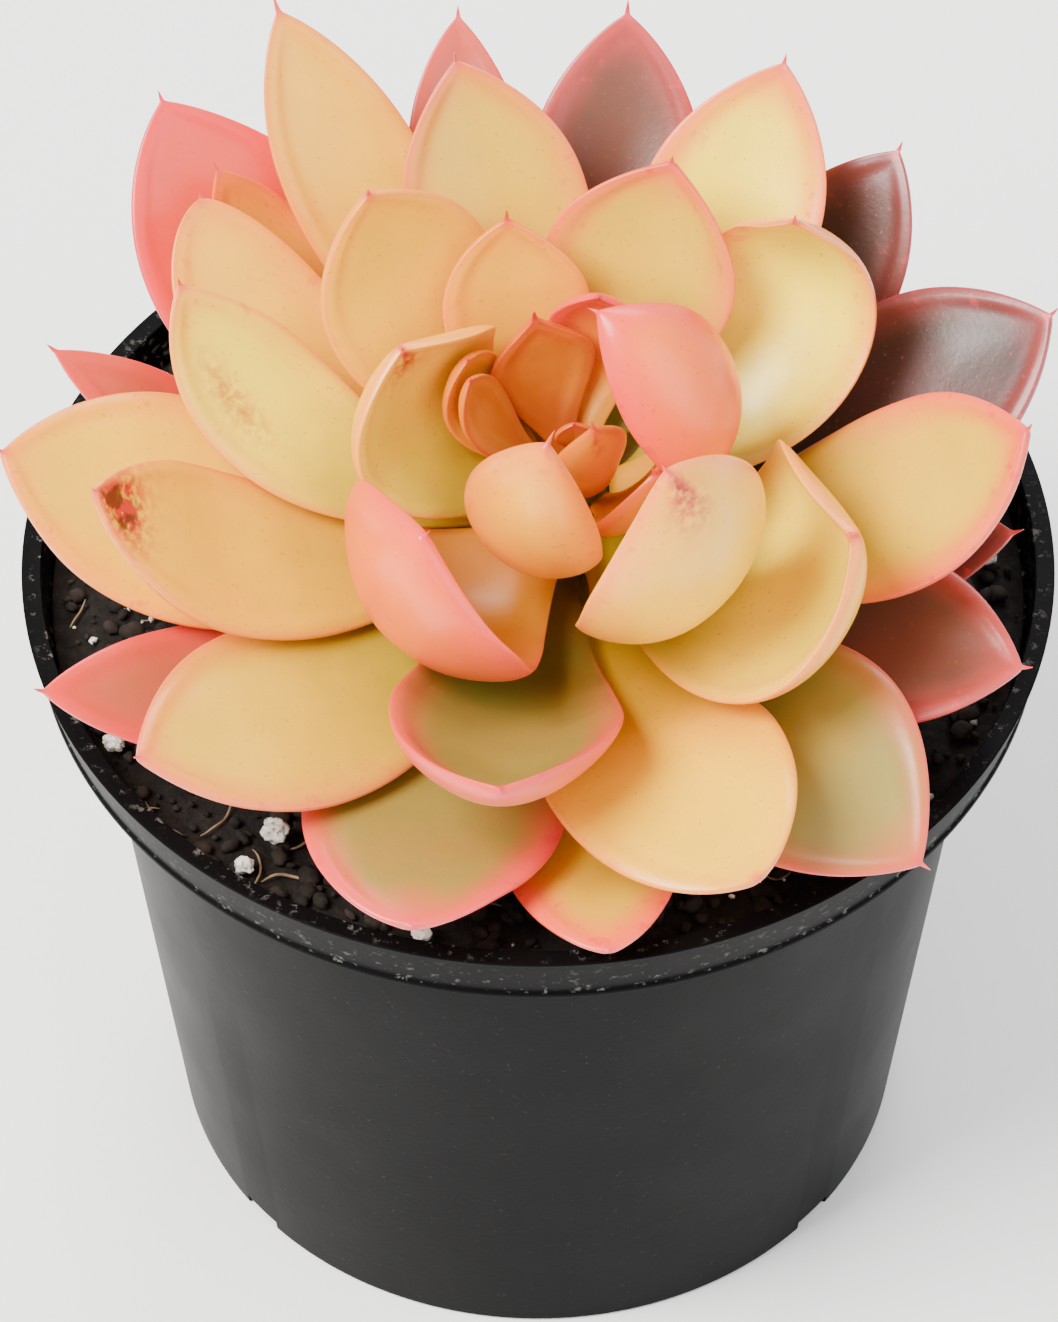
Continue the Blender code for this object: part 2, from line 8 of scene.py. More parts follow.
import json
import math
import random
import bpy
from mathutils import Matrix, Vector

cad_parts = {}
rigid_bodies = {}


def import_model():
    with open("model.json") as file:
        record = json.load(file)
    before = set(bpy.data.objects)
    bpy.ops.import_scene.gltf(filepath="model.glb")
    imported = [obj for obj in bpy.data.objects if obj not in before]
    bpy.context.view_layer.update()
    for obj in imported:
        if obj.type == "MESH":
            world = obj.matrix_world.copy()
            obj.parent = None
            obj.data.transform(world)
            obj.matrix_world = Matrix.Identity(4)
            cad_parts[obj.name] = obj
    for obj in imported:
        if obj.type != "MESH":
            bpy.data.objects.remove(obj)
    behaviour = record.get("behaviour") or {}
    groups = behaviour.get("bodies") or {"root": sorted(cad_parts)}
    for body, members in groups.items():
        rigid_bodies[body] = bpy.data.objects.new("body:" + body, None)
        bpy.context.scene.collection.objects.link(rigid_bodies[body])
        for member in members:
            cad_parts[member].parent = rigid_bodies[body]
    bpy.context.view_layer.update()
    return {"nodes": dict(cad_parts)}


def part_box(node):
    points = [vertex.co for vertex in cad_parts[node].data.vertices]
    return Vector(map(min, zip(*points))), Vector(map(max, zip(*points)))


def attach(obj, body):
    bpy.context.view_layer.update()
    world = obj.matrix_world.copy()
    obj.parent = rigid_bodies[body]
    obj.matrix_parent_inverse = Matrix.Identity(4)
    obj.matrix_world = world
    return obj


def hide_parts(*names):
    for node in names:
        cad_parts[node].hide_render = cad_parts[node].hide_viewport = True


bl_info = {
    "name": "Potted Succulent",
    "version": (1, 0, 0),
    "blender": (4, 5, 0),
    "location": "3D View > Sidebar > Succulent",
    "description": "A fleshy rosette in a round nursery pot, made around its packed solids",
    "category": "Add Mesh",
}

from collections import namedtuple

import bmesh
import bpy
import numpy as np
from bpy.props import FloatProperty, FloatVectorProperty, IntProperty, PointerProperty
from mathutils import Matrix, Vector, noise
from mathutils.bvhtree import BVHTree

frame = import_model()

MM = 0.001
POT_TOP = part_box("nursery_pot")[1]

# Clearances
GAP = 0.3 * MM
LEAF_GAP = 0.4 * MM
BASE_GAP = 0.7 * MM
BOX_SLACK = 3.0 * MM  # how far a leaf's flesh may stand outside its solid's box

# Nursery pot
RIM_RADIUS = POT_TOP.x
RIM_DEPTH = 6.8 * MM
RIM_TAPER = 1.5 * MM
LIP_WIDTH = 2.0 * MM
RIDGE = 0.25 * MM
BAND_STEP = 4.8 * MM
POT_HEIGHT = POT_TOP.z
BASE_RADIUS = 38.0 * MM
WALL = 1.2 * MM
FLOOR_LIFT = 2.6 * MM
FOOT_WIDTH = 1.7 * MM
FOOT_BEVEL = 0.7 * MM
FOOT_ROUND = 0.3 * MM
NOTCH_WIDTH = 4.7 * MM
NOTCH_HEIGHT = 1.5 * MM
NOTCH_ANGLES = (40, 140, 220, 320)
HOLE_RADIUS = 1.6 * MM
HOLES = 8
HOLE_CIRCLE = 26.0 * MM

# Potting mix
SOIL_DROP = 4.7 * MM
SOIL_BUMP = 0.4 * MM
BARE_MIX = 24.0 * MM  # radius of the disc round the pot's axis that has no loose grains
MIX_SEGMENTS = 460

# Stem
STEM_TOP = 4.0 * MM
STEM_TOP_RADIUS = 0.7 * MM
STEM_FOOT_RADIUS = 6.1 * MM
STEM_LENGTH = 19.0 * MM
STEM_ROOTED = 8.0 * MM

# Rosette
HEART_SIDE = 4.0 * MM
HEART_FRONT = 4.0 * MM
HEART_RISE = 22.0 * MM
LEAN = 16.0
SWING = 20.0
FIRST_LEAF = 5.0 * MM
LEAF_STEP = 0.38 * MM
LEAF_THICKNESS = 3.4 * MM
WIDE_LEAF = 20.0 * MM

# How a leaf's shape runs from its base to its tip
NECK = 0.22
WIDEST_AT = 0.62
BASE_THICKNESS = 0.38
EDGE_THICKNESS = 0.22
UPPER_SHARE = 0.32
CROSS_POWER = 2.6

# Pads that keep neighbouring leaves apart
PAD_PITCH = 2.0 * MM
PAD_LEAST = 0.25 * MM
PRESS_ROUNDS = 12
PRESS_SPREAD = 0.24
EASE_POWER = 12

# The sharp point at a leaf's tip
THORN = 0.55 * MM
THORN_RUN = 2.2 * MM
POINT_ROWS = 8

# Stage: how far the floor reaches, what the lamps aim at, and how far the camera looks past the middle of
# the pot's mouth, to the right and up, as slopes
FLOOR_REACH = 4.0
LAMP_AIM = Vector((0, 0, 0.07))
LOOK_RIGHT = -0.00091
LOOK_UP = -0.01026
SENSOR_WIDTH = 36

# Each lamp: size, place and colour
LAMPS = {
    "key": (0.55, (-0.55, -0.30, 0.95), (1.0, 0.97, 0.92)),
    "fill": (0.9, (0.75, -0.55, 0.55), (0.96, 0.98, 1.0)),
    "back": (0.5, (0.15, 0.75, 0.75), (1.0, 0.98, 0.95)),
}

# One leaf: how it grows, as in the solids, and its looks: the skin it wears, how red its edge is, how long
# its point is in millimetres, and a scar as (share along, share across, length, width, strength).
Leaf = namedtuple(
    "Leaf",
    "name azimuth rise curl length width skin sweep cup point late blush spine scar",
    defaults=("cream", 0, 0.2, 0.85, 1.3, 0.5, 1.2, None),
)

LEAVES = (
    Leaf("heart_leaf_1", 100, 75, 95, 5, 4, "ember", blush=0.3, spine=0.5),
    Leaf("heart_leaf_2", 230, 75, 95, 5, 4, "ember", blush=0.4, spine=0.5),
    Leaf("heart_leaf_3", 290, 78, 95, 18, 8, "ember", point=1.1, blush=0.2, spine=1.0,
         scar=(0.9, 0.0, 0.15, 0.25, 0.8)),
    Leaf("heart_leaf_4", 168, 30, 95, 18, 7, "ember", blush=0.1, spine=0.7),
    Leaf("heart_leaf_5", 115, 40, 80, 17, 11, "ember", point=1.5, blush=0.6, spine=1.4),
    Leaf("inner_leaf_1", 254, 18, 130, 40, 15, "amber", sweep=-12, cup=0.35, late=1.0, blush=0.6, spine=1.4),
    Leaf("inner_leaf_2", 80, 30, 110, 22, 10, "blush", blush=1.0),
    Leaf("inner_leaf_3", 311, 45, 95, 20, 13, "ember", cup=0.3, blush=0.7),
    Leaf("inner_leaf_4", 158, 40, 85, 19, 9, "amber", blush=0.2, spine=0.5),
    Leaf("inner_leaf_5", 182, 18, 90, 28, 22, "cream", sweep=-38, cup=0.3, late=1.0, blush=0.2, spine=0.5,
         scar=(0.96, 0.0, 0.10, 0.4, 1.15)),
    Leaf("inner_leaf_6", 0, 30, 175, 41, 16, "blush", sweep=-50, cup=0.4, late=1.2, blush=1.1, spine=1.0),
    Leaf("inner_leaf_7", 236, 10, 130, 44, 26, "blush", sweep=-12, cup=0.4, late=1.6, blush=0.6, spine=0.5),
    Leaf("inner_leaf_8", 293, 8, 124, 55, 23, "cream", sweep=18, cup=0.4, late=0.9, blush=0.5, spine=0.6,
         scar=(0.95, 0.0, 0.07, 0.4, 1.15)),
    Leaf("inner_leaf_9", 118, 29, 68, 27, 15, "amber", sweep=-15, blush=0.4, spine=1.8),
    Leaf("middle_leaf_1", 141, 18, 80, 38, 20, "honey", cup=0.1, blush=0.3),
    Leaf("middle_leaf_2", 72, 21, 68, 33, 20, "peach", sweep=-10, cup=0.35, blush=0.8),
    Leaf("middle_leaf_3", 16, 16, 68, 37, 19, "cream", sweep=45, cup=0.4, late=0.8, blush=0.8),
    Leaf("middle_leaf_4", 308, 7, 94, 41, 29, "cream", sweep=55, cup=0.4, late=1.6, blush=0.4),
    Leaf("middle_leaf_5", 252, 17, 76, 52, 23, "olive", sweep=27, cup=0.4, late=2.3, blush=1.0, spine=0.4),
    Leaf("middle_leaf_6", 188, 8, 62, 48, 15, "cream", sweep=-42, blush=0.4,
         scar=(0.72, 0.3, 0.12, 0.22, 0.7)),
    Leaf("middle_leaf_7", 107, 15, 55, 43, 19, "peach", sweep=8, cup=0.3, blush=0.7),
    Leaf("middle_leaf_8", 276, 19, 22, 51, 24, "honey", sweep=28, cup=0.04, point=0.6, blush=0.3, spine=0.4),
    Leaf("middle_leaf_9", 174, 7, 34, 48, 16, "amber", sweep=-46, point=0.65, blush=0.5, spine=0.5),
    Leaf("outer_leaf_1", 206, 7, 60, 55, 18, "honey", sweep=-12, cup=0.05, late=1.1, blush=0.3, spine=0.5,
         scar=(0.94, 0.0, 0.08, 0.8, 1.9)),
    Leaf("outer_leaf_2", 230, 7, 38, 56, 22, "peach", sweep=-10, cup=0.05, blush=0.5, spine=0.6),
    Leaf("outer_leaf_3", 58, 11, 49, 46, 19, "cream", cup=0.25, blush=1.1),
    Leaf("outer_leaf_4", 345, 8, 60, 49, 21, "peach", sweep=8, cup=0.1, late=1.1, blush=1.0),
    Leaf("outer_leaf_5", 129, 10, 40, 55, 15, "amber", blush=0.3, spine=1.8),
    Leaf("outer_leaf_6", 300, 17, 2, 50, 25, "olive", sweep=9, cup=0.15, blush=0.6),
    Leaf("outer_leaf_7", 240, 18, 18, 52, 26, "olive", sweep=38, cup=0.04, point=0.6, blush=1.2, spine=0.3),
    Leaf("outer_leaf_8", 148, 12, 42, 46, 13, "amber", blush=0.9),
    Leaf("outer_leaf_9", 190, 6, 37, 56, 25, "honey", cup=0.05, blush=0.6),
    Leaf("outer_leaf_10", 12, 8, 40, 48, 22, "mauve", sweep=-8, cup=0.15, blush=0.8),
    Leaf("outer_leaf_11", 83, 12, 40, 47, 18, "dusk", blush=0.9, spine=1.6),
    Leaf("outer_leaf_12", 269, 17, 18, 49.6, 18, "peach", sweep=10, cup=0.02, point=0.6, blush=1.2,
         spine=0.3),
    Leaf("low_leaf_1", 153, 7, 35, 56, 23, "coral", sweep=-18, cup=0.15, blush=1.0),
    Leaf("low_leaf_2", 220, 6, 28, 56, 15, "rose", sweep=-18, cup=0.1, blush=1.0),
    Leaf("low_leaf_3", 328, 11, 18, 44, 20, "dusk", cup=0.15, blush=0.9),
    Leaf("low_leaf_4", 40, 11, 39, 45, 17, "mauve", blush=0.4),
    Leaf("low_leaf_5", 113, 9, 32, 49, 13, "rose", sweep=-14, blush=0.4),
    Leaf("low_leaf_6", 175, 8, 31, 51, 10, "rose", blush=0.8),
    Leaf("low_leaf_7", 346, 12, 18, 39, 12, "mauve", blush=0.6),
)


def shade(web):
    """A linear colour from the six web digits that paint charts give."""
    channels = [int(web[k : k + 2], 16) / 255 for k in (0, 2, 4)]
    return tuple(c / 12.92 if c <= 0.04045 else ((c + 0.055) / 1.055) ** 2.4 for c in channels)


def colour_property(name, description, web):
    return FloatVectorProperty(
        name=name, description=description, default=shade(web), size=3, min=0, max=1, subtype="COLOR"
    )


def length_property(name, description, default):
    return FloatProperty(
        name=name, description=description, default=default, min=0, unit="LENGTH", precision=5
    )


def power_property(name, description, default):
    return FloatProperty(name=name, description=description, default=default, min=0, unit="POWER")


# Each skin: colour at the leaf's base, over its blade, along its margins and on its outside. The dusk and
# mauve skins are the leaves' own dark colour with painted shade on top, for the leaves that sit in shade on
# the back and right of the rosette.
SKINS = {
    # Each base colour is partly painted shade: the leaf's own base colour, made darker for the shade where
    # the leaves overlap.
    "ember": ("a04800", "d48400", "c83400", "e89c00"),
    "amber": ("b07400", "e8b000", "f06418", "f4a800"),
    "honey": ("b88c00", "f0bc00", "f87420", "f0ac00"),
    "cream": ("9c8400", "fce424", "fc7038", "fcc010"),
    "blush": ("c08000", "f48c18", "f43c38", "f46c24"),
    "peach": ("707410", "d8b018", "f05038", "e49428"),
    "olive": ("4e5210", "8e7c34", "e8403c", "dc7c50"),
    "coral": ("985828", "d8402c", "e42830", "cc3c2c"),
    "rose": ("845020", "b0543a", "dc3430", "b05038"),
    # Painted shade: the last two skins are darker than these leaves' own colour, standing in for the shade
    # they sit in on the back and right.
    "dusk": ("363014", "663c2c", "c43c3c", "663430"),
    "mauve": ("30261a", "382420", "9c3c3c", "422226"),
}


# ---------------------------------------------------------------------------- properties


class SUCCULENT_PG_leaves(bpy.types.PropertyGroup):
    """Sizes and colours of the leaves."""

    rib_steps: IntProperty(
        name="Steps Along", description="Mesh rows from a leaf's base to its tip", default=56, min=16
    )
    cross_steps: IntProperty(
        name="Steps Across", description="Mesh columns from one margin to the other", default=30, min=8
    )
    rim_height: length_property("Rim Height", "How proud the fine rim inside the margin stands", 0.11 * MM)
    rim_inset: length_property("Rim Inset", "How far inside the margin that rim runs", 1.3 * MM)
    waviness: length_property("Waviness", "How much the flesh swells and dips", 0.22 * MM)
    point_colour: colour_property("Point", "Colour of the sharp point at a leaf's tip", "d8303c")
    scar_colour: colour_property("Scar", "Colour of old scars", "c01818")
    fleck_colour: colour_property("Fleck", "Colour of the fine flecks in the skin", "a05a2a")
    roughness: FloatProperty(
        name="Roughness", description="Roughness of the waxy skin", default=0.35, min=0, max=1,
        subtype="FACTOR",
    )


class SUCCULENT_PG_pot(bpy.types.PropertyGroup):
    """Sizes and colours of the nursery pot."""

    segments: IntProperty(name="Segments", description="Mesh segments round the pot", default=192, min=48)
    fillet: length_property("Fillet", "Radius of the moulded corners", 0.5 * MM)
    plastic_colour: colour_property("Plastic", "Colour of the moulded plastic", "09090a")
    dust_colour: colour_property("Dust", "Colour of the dust inside the rim", "8c8a86")


class SUCCULENT_PG_mix(bpy.types.PropertyGroup):
    """Sizes and colours of the potting mix, its perlite and the stem."""

    crumbs: IntProperty(name="Crumbs", description="Number of loose crumbs on the mix", default=1500, min=0)
    fibres: IntProperty(name="Fibres", description="Number of plant fibres on the mix", default=110, min=0)
    grit: IntProperty(name="Grit", description="Number of small white grains on the mix", default=120, min=0)
    crumb_size: length_property("Crumb Size", "Width of the largest crumb", 2.2 * MM)
    peat_colour: colour_property("Peat", "Colour of the damp peat", "100d0b")
    crumb_colour: colour_property("Crumb", "Colour of the drier crumbs", "2c241e")
    fibre_colour: colour_property("Fibre", "Colour of the plant fibres", "8a7458")
    perlite_colour: colour_property("Perlite", "Colour of the expanded grains", "d9d6cf")
    bark_colour: colour_property("Bark", "Colour of the stem's bark", "6e6238")


class SUCCULENT_PG_stage(bpy.types.PropertyGroup):
    """The floor, the lamps and the camera."""

    floor_colour: colour_property("Floor", "Colour of the plain floor", "fbfbfb")
    key_power: power_property("Key", "Power of the large lamp", 32.0)
    fill_power: power_property("Fill", "Power of the fill lamp", 7.0)
    back_power: power_property("Back", "Power of the rear lamp", 7.0)
    sky: FloatProperty(name="Sky", description="Strength of the even white light", default=1.0, min=0)
    elevation: FloatProperty(
        name="Elevation", description="Camera's height above the horizon", default=math.radians(49.39),
        subtype="ANGLE",
    )
    distance: length_property("Distance", "From the camera to the middle of the pot's mouth", 1.0)
    lens: FloatProperty(name="Lens", description="Focal length in millimetres", default=267.96, min=1)


# ---------------------------------------------------------------------------- meshes


def mesh_object(name, vertices, faces, material, attributes=None):
    """A smooth mesh that rides the pot, with its masks as point attributes."""
    mesh = bpy.data.meshes.new(name)
    mesh.from_pydata([tuple(map(float, v)) for v in vertices], [], faces)
    mesh.materials.append(material)
    for key, values in (attributes or {}).items():
        layer = mesh.attributes.new(key, "FLOAT", "POINT")
        layer.data.foreach_set("value", np.asarray(values, np.float32))
    mesh.shade_smooth()
    mesh.update()
    obj = linked(name, mesh)
    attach(obj, "root")
    return obj


def linked(name, data):
    obj = bpy.data.objects.new(name, data)
    bpy.context.scene.collection.objects.link(obj)
    return obj


def circle(radius, height, count):
    """Points evenly spaced round the Z axis."""
    turns = [math.tau * k / count for k in range(count)]
    return [(radius * math.cos(turn), radius * math.sin(turn), height) for turn in turns]


def ring_faces(rings, size):
    """Faces of a closed tube made of rings of points, one ring after another."""
    faces = []
    for ring in range(rings - 1):
        low, high = ring * size, (ring + 1) * size
        for k in range(size):
            after = (k + 1) % size
            faces.append((low + after, low + k, high + k, high + after))
    last = (rings - 1) * size
    faces.append(tuple(range(size)))
    faces.append(tuple(last + k for k in reversed(range(size))))
    return faces


def rough(point, scale, octaves=3):
    """Layered noise of about -1 to 1, with features of the given size."""
    return noise.fractal(Vector(point) / scale, 1.0, 2.0, octaves, noise_basis="PERLIN_ORIGINAL")


def random_shift(chance, reach):
    return Vector([chance.uniform(0, reach) for _ in range(3)])


# ---------------------------------------------------------------------------- shader helpers


class Graph:
    """Adds nodes to a tree, each from its type, settings and inputs."""

    def __init__(self, tree):
        self.tree = tree

    def add(self, kind, inputs=None, **settings):
        node = self.tree.nodes.new(kind)
        for key, value in settings.items():
            setattr(node, key, value)
        for key, value in (inputs or {}).items():
            self.feed(node.inputs[key], value)
        return node

    def feed(self, socket, value):
        if isinstance(value, bpy.types.NodeSocket):
            self.tree.links.new(value, socket)
        elif socket.type == "RGBA" and len(value) == 3:
            socket.default_value = (*value, 1.0)
        else:
            socket.default_value = value

    def math(self, operation, a, b=0.0, clamp=False):
        return self.add("ShaderNodeMath", {0: a, 1: b}, operation=operation, use_clamp=clamp).outputs[0]

    def times(self, a, b, clamp=False):
        return self.math("MULTIPLY", a, b, clamp)

    def mix(self, share, a, b, blend="MIX"):
        node = self.add("ShaderNodeMix", data_type="RGBA", blend_type=blend)
        self.feed(node.inputs[0], share)
        self.feed(node.inputs[6], a)
        self.feed(node.inputs[7], b)
        return node.outputs[2]

    def smooth(self, value, low, high):
        """A soft step from 0 at low to 1 at high; low may be above high."""
        node = self.add("ShaderNodeMapRange", interpolation_type="SMOOTHSTEP")
        self.feed(node.inputs["Value"], value)
        self.feed(node.inputs["From Min"], min(low, high))
        self.feed(node.inputs["From Max"], max(low, high))
        node.inputs["To Min"].default_value = 0.0 if low < high else 1.0
        node.inputs["To Max"].default_value = 1.0 if low < high else 0.0
        return node.outputs[0]

    def noise(self, scale, detail=2.0, roughness=0.5):
        where = self.add("ShaderNodeTexCoord").outputs["Object"]
        inputs = {"Vector": where, "Scale": scale, "Detail": detail, "Roughness": roughness}
        return self.add("ShaderNodeTexNoise", inputs).outputs[0]

    def mask(self, name):
        return self.add("ShaderNodeAttribute", attribute_name=name, attribute_type="GEOMETRY").outputs["Fac"]

    def relief(self, shader, height, strength, distance):
        inputs = {"Height": height, "Strength": strength, "Distance": distance}
        self.feed(shader["Normal"], self.add("ShaderNodeBump", inputs).outputs[0])


def new_group(name, inputs, outputs):
    tree = bpy.data.node_groups.new(name, "ShaderNodeTree")
    for key, kind, default in inputs:
        socket = tree.interface.new_socket(key, in_out="INPUT", socket_type=kind)
        socket.default_value = (*default, 1.0) if kind == "NodeSocketColor" else default
    for key, kind in outputs:
        tree.interface.new_socket(key, in_out="OUTPUT", socket_type=kind)
    graph = Graph(tree)
    return graph, graph.add("NodeGroupInput").outputs, graph.add("NodeGroupOutput").inputs


def new_material(name, **constants):
    material = bpy.data.materials.new(name)
    material.use_nodes = True
    shader = material.node_tree.nodes["Principled BSDF"]
    for key, value in constants.items():
        shader.inputs[key.replace("_", " ")].default_value = value
    return material, Graph(material.node_tree), shader.inputs


def use_group(graph, tree, **inputs):
    node = graph.add("ShaderNodeGroup")
    node.node_tree = tree
    for key, value in inputs.items():
        graph.feed(node.inputs[key.replace("_", " ")], value)
    return node.outputs


def skin_group():
    """Colour, roughness and relief of a waxy leaf, from the masks that its mesh carries."""
    if "waxy leaf skin" in bpy.data.node_groups:
        return bpy.data.node_groups["waxy leaf skin"]
    colour, value = "NodeSocketColor", "NodeSocketFloat"
    inputs = [
        ("Base", colour, (0.4, 0.2, 0.02)),
        ("Blade", colour, (0.8, 0.5, 0.2)),
        ("Margin", colour, (0.8, 0.3, 0.2)),
        ("Outside", colour, (0.8, 0.5, 0.3)),
        ("Point", colour, (0.6, 0.05, 0.05)),
        ("Scar", colour, (0.3, 0.05, 0.0)),
        ("Fleck", colour, (0.3, 0.1, 0.03)),
        ("Roughness", value, 0.4),
    ]
    graph, given, out = new_group(
        "waxy leaf skin", inputs, [("Color", colour), ("Roughness", value), ("Height", value)]
    )
    cloud = graph.noise(90.0, 2.0, 0.5)
    drift = graph.math("SUBTRACT", cloud, 0.5)
    grain = graph.noise(900.0, 3.0, 0.6)
    flecks = graph.noise(2100.0, 1.0, 0.5)
    along = graph.math("ADD", graph.mask("along"), graph.times(drift, 0.35))
    # Partly painted shade: the colour runs from the base colour, which is the leaf's own colour darkened as
    # the shade between the leaves, out to the blade colour.
    tint = graph.mix(graph.smooth(along, 0.22, 0.66), given["Base"], given["Blade"])
    outside = graph.mix(graph.smooth(along, 0.05, 0.45), given["Base"], given["Outside"])
    tint = graph.mix(graph.mask("under"), tint, outside)
    patch = graph.smooth(graph.noise(55.0, 2.0, 0.5), 0.42, 0.72)
    tint = graph.mix(graph.times(patch, 0.12), tint, given["Margin"])
    edge_distance = graph.math("ADD", graph.mask("margin"), graph.times(drift, 3.0))
    broad = graph.times(graph.smooth(edge_distance, 5.0, -0.5), graph.mask("blush"))
    broad = graph.times(broad, graph.smooth(graph.mask("along"), 0.30, 0.75))
    tint = graph.mix(graph.times(broad, 0.85, clamp=True), tint, given["Margin"])
    fine_line = graph.smooth(graph.mask("margin"), 0.9, 0.1)
    fine_line = graph.times(fine_line, graph.smooth(graph.mask("along"), 0.2, 0.5))
    tint = graph.mix(graph.times(fine_line, 0.45), tint, given["Margin"])
    tip = graph.times(graph.smooth(graph.mask("tip"), 7.0, 0.0), graph.mask("blush"))
    tint = graph.mix(graph.times(tip, 0.6, clamp=True), tint, given["Margin"])
    freckles = graph.smooth(graph.noise(520.0, 2.0, 0.6), 0.60, 0.70)
    freckles = graph.times(freckles, graph.times(broad, 0.75))
    tint = graph.mix(graph.math("MINIMUM", freckles, 0.6), tint, given["Point"])
    specks = graph.times(graph.smooth(flecks, 0.68, 0.76), 0.35)
    tint = graph.mix(specks, tint, given["Fleck"])
    scar = graph.times(graph.mask("scar"), graph.smooth(grain, 0.30, 0.62), clamp=True)
    tint = graph.mix(scar, tint, given["Scar"])
    dead = graph.smooth(graph.times(graph.mask("scar"), graph.noise(700.0)), 0.55, 0.85)
    tint = graph.mix(graph.times(dead, 0.8), tint, (0.02, 0.008, 0.005))
    point = graph.smooth(graph.mask("tip"), 1.4, -0.2)
    tint = graph.mix(graph.times(point, 0.75), tint, given["Point"])
    light = graph.add("ShaderNodeCombineColor")
    level = graph.math("ADD", 0.93, graph.times(graph.noise(260.0, 3.0, 0.6), 0.14))
    for channel in (0, 1, 2):
        graph.feed(light.inputs[channel], level)
    tint = graph.mix(1.0, tint, light.outputs[0], blend="MULTIPLY")
    graph.feed(out["Color"], tint)
    waxy = graph.times(graph.math("SUBTRACT", graph.noise(140.0, 3.0, 0.6), 0.5), 0.28)
    graph.feed(out["Roughness"], graph.math("ADD", given["Roughness"], waxy))
    relief = graph.math("ADD", graph.times(grain, 0.5), graph.times(flecks, 0.25))
    graph.feed(out["Height"], relief)
    return graph.tree


def skin_material(name):
    """One of the skins, made once and shared by the leaves that wear it."""
    if "skin " + name in bpy.data.materials:
        return bpy.data.materials["skin " + name]
    looks = bpy.context.scene.succulent_leaves
    base, blade, margin, outside = (shade(web) for web in SKINS[name])
    material, graph, shader = new_material(
        "skin " + name,
        Subsurface_Weight=0.18,
        Subsurface_Radius=(1.0, 0.45, 0.15),
        Subsurface_Scale=1.6 * MM,
        Coat_Roughness=0.22,
        Specular_IOR_Level=0.5,
    )
    skin = use_group(
        graph, skin_group(), Base=base, Blade=blade, Margin=margin, Outside=outside,
        Point=looks.point_colour[:], Scar=looks.scar_colour[:], Fleck=looks.fleck_colour[:],
        Roughness=looks.roughness,
    )
    graph.feed(shader["Base Color"], skin["Color"])
    graph.feed(shader["Roughness"], skin["Roughness"])
    shader["Coat Weight"].default_value = 0.12
    graph.relief(shader, skin["Height"], 0.35, 0.12 * MM)
    return material


def grit_group():
    """Mottled colour and crumbly relief, for anything earthy or worn."""
    if "mottled grit" in bpy.data.node_groups:
        return bpy.data.node_groups["mottled grit"]
    colour, value = "NodeSocketColor", "NodeSocketFloat"
    graph, given, out = new_group(
        "mottled grit",
        [("Dark", colour, (0.0, 0.0, 0.0)), ("Light", colour, (0.5, 0.5, 0.5)), ("Scale", value, 400.0),
         ("Level", value, 0.5)],
        [("Color", colour), ("Height", value)],
    )
    patch = graph.noise(given["Scale"], 6.0, 0.7)
    rise = graph.math("SUBTRACT", patch, given["Level"])
    share = graph.times(graph.math("ADD", rise, 0.12), 4.0, clamp=True)
    graph.feed(out["Color"], graph.mix(share, given["Dark"], given["Light"]))
    graph.feed(out["Height"], patch)
    return graph.tree


def earthy_material(name, dark, light, scale, level, depth, roughness):
    """A crumbly finish mottled between two colours, made once and shared."""
    if name in bpy.data.materials:
        return bpy.data.materials[name]
    material, graph, shader = new_material(name, Roughness=roughness, Specular_IOR_Level=0.25)
    grit = use_group(graph, grit_group(), Dark=dark, Light=light, Scale=scale, Level=level)
    graph.feed(shader["Base Color"], grit["Color"])
    graph.relief(shader, grit["Height"], 0.9, depth)
    return material


# ---------------------------------------------------------------------------- how the leaves lie


class Rosette:
    """Turns the rosette's own frame, with the growing point at zero and the stem along -Z, into the pot's."""

    def __init__(self, lift=0.0):
        lean = math.radians(LEAN)
        self.heart = np.array((HEART_SIDE, -HEART_FRONT, POT_HEIGHT + HEART_RISE + lift))
        self.axes = np.array(
            (
                (1.0, 0.0, 0.0),
                (0.0, math.cos(lean), math.sin(lean)),
                (0.0, -math.sin(lean), math.cos(lean)),
            )
        )

    def place(self, points):
        return points @ self.axes + self.heart


def stem_radius(depth):
    """The stem widens evenly from its top to its foot."""
    share = min(max((depth - STEM_TOP) / STEM_LENGTH, 0.0), 1.0)
    return STEM_TOP_RADIUS + (STEM_FOOT_RADIUS - STEM_TOP_RADIUS) * share


def leaf_thickness(leaf):
    return LEAF_THICKNESS * (leaf.width * MM / WIDE_LEAF) ** 0.75


def half_width(leaf, along):
    """Half the width of a leaf at a share along it, for an obovate outline."""
    rising = NECK + (1 - NECK) * np.sin(np.clip(along / WIDEST_AT, 0, 1) * math.pi / 2) ** 1.8
    beyond = np.clip((along - WIDEST_AT) / (1 - WIDEST_AT), 0, 1)
    falling = (1 - beyond**2.2) ** leaf.point
    return 0.5 * leaf.width * MM * np.where(along < WIDEST_AT, rising, falling)


def half_thickness(leaf, along):
    """Half the thickness along the middle of a leaf."""
    swelling = BASE_THICKNESS + (1 - BASE_THICKNESS) * np.sin(along**1.4 * math.pi / 1.25)
    ending = (1 - 0.75 * along**5) ** 0.8
    return 0.5 * leaf_thickness(leaf) * swelling * ending


def flow_at(pitch, heading):
    level = np.cos(pitch)
    return np.stack((level * np.cos(heading), level * np.sin(heading), np.sin(pitch)), axis=1)


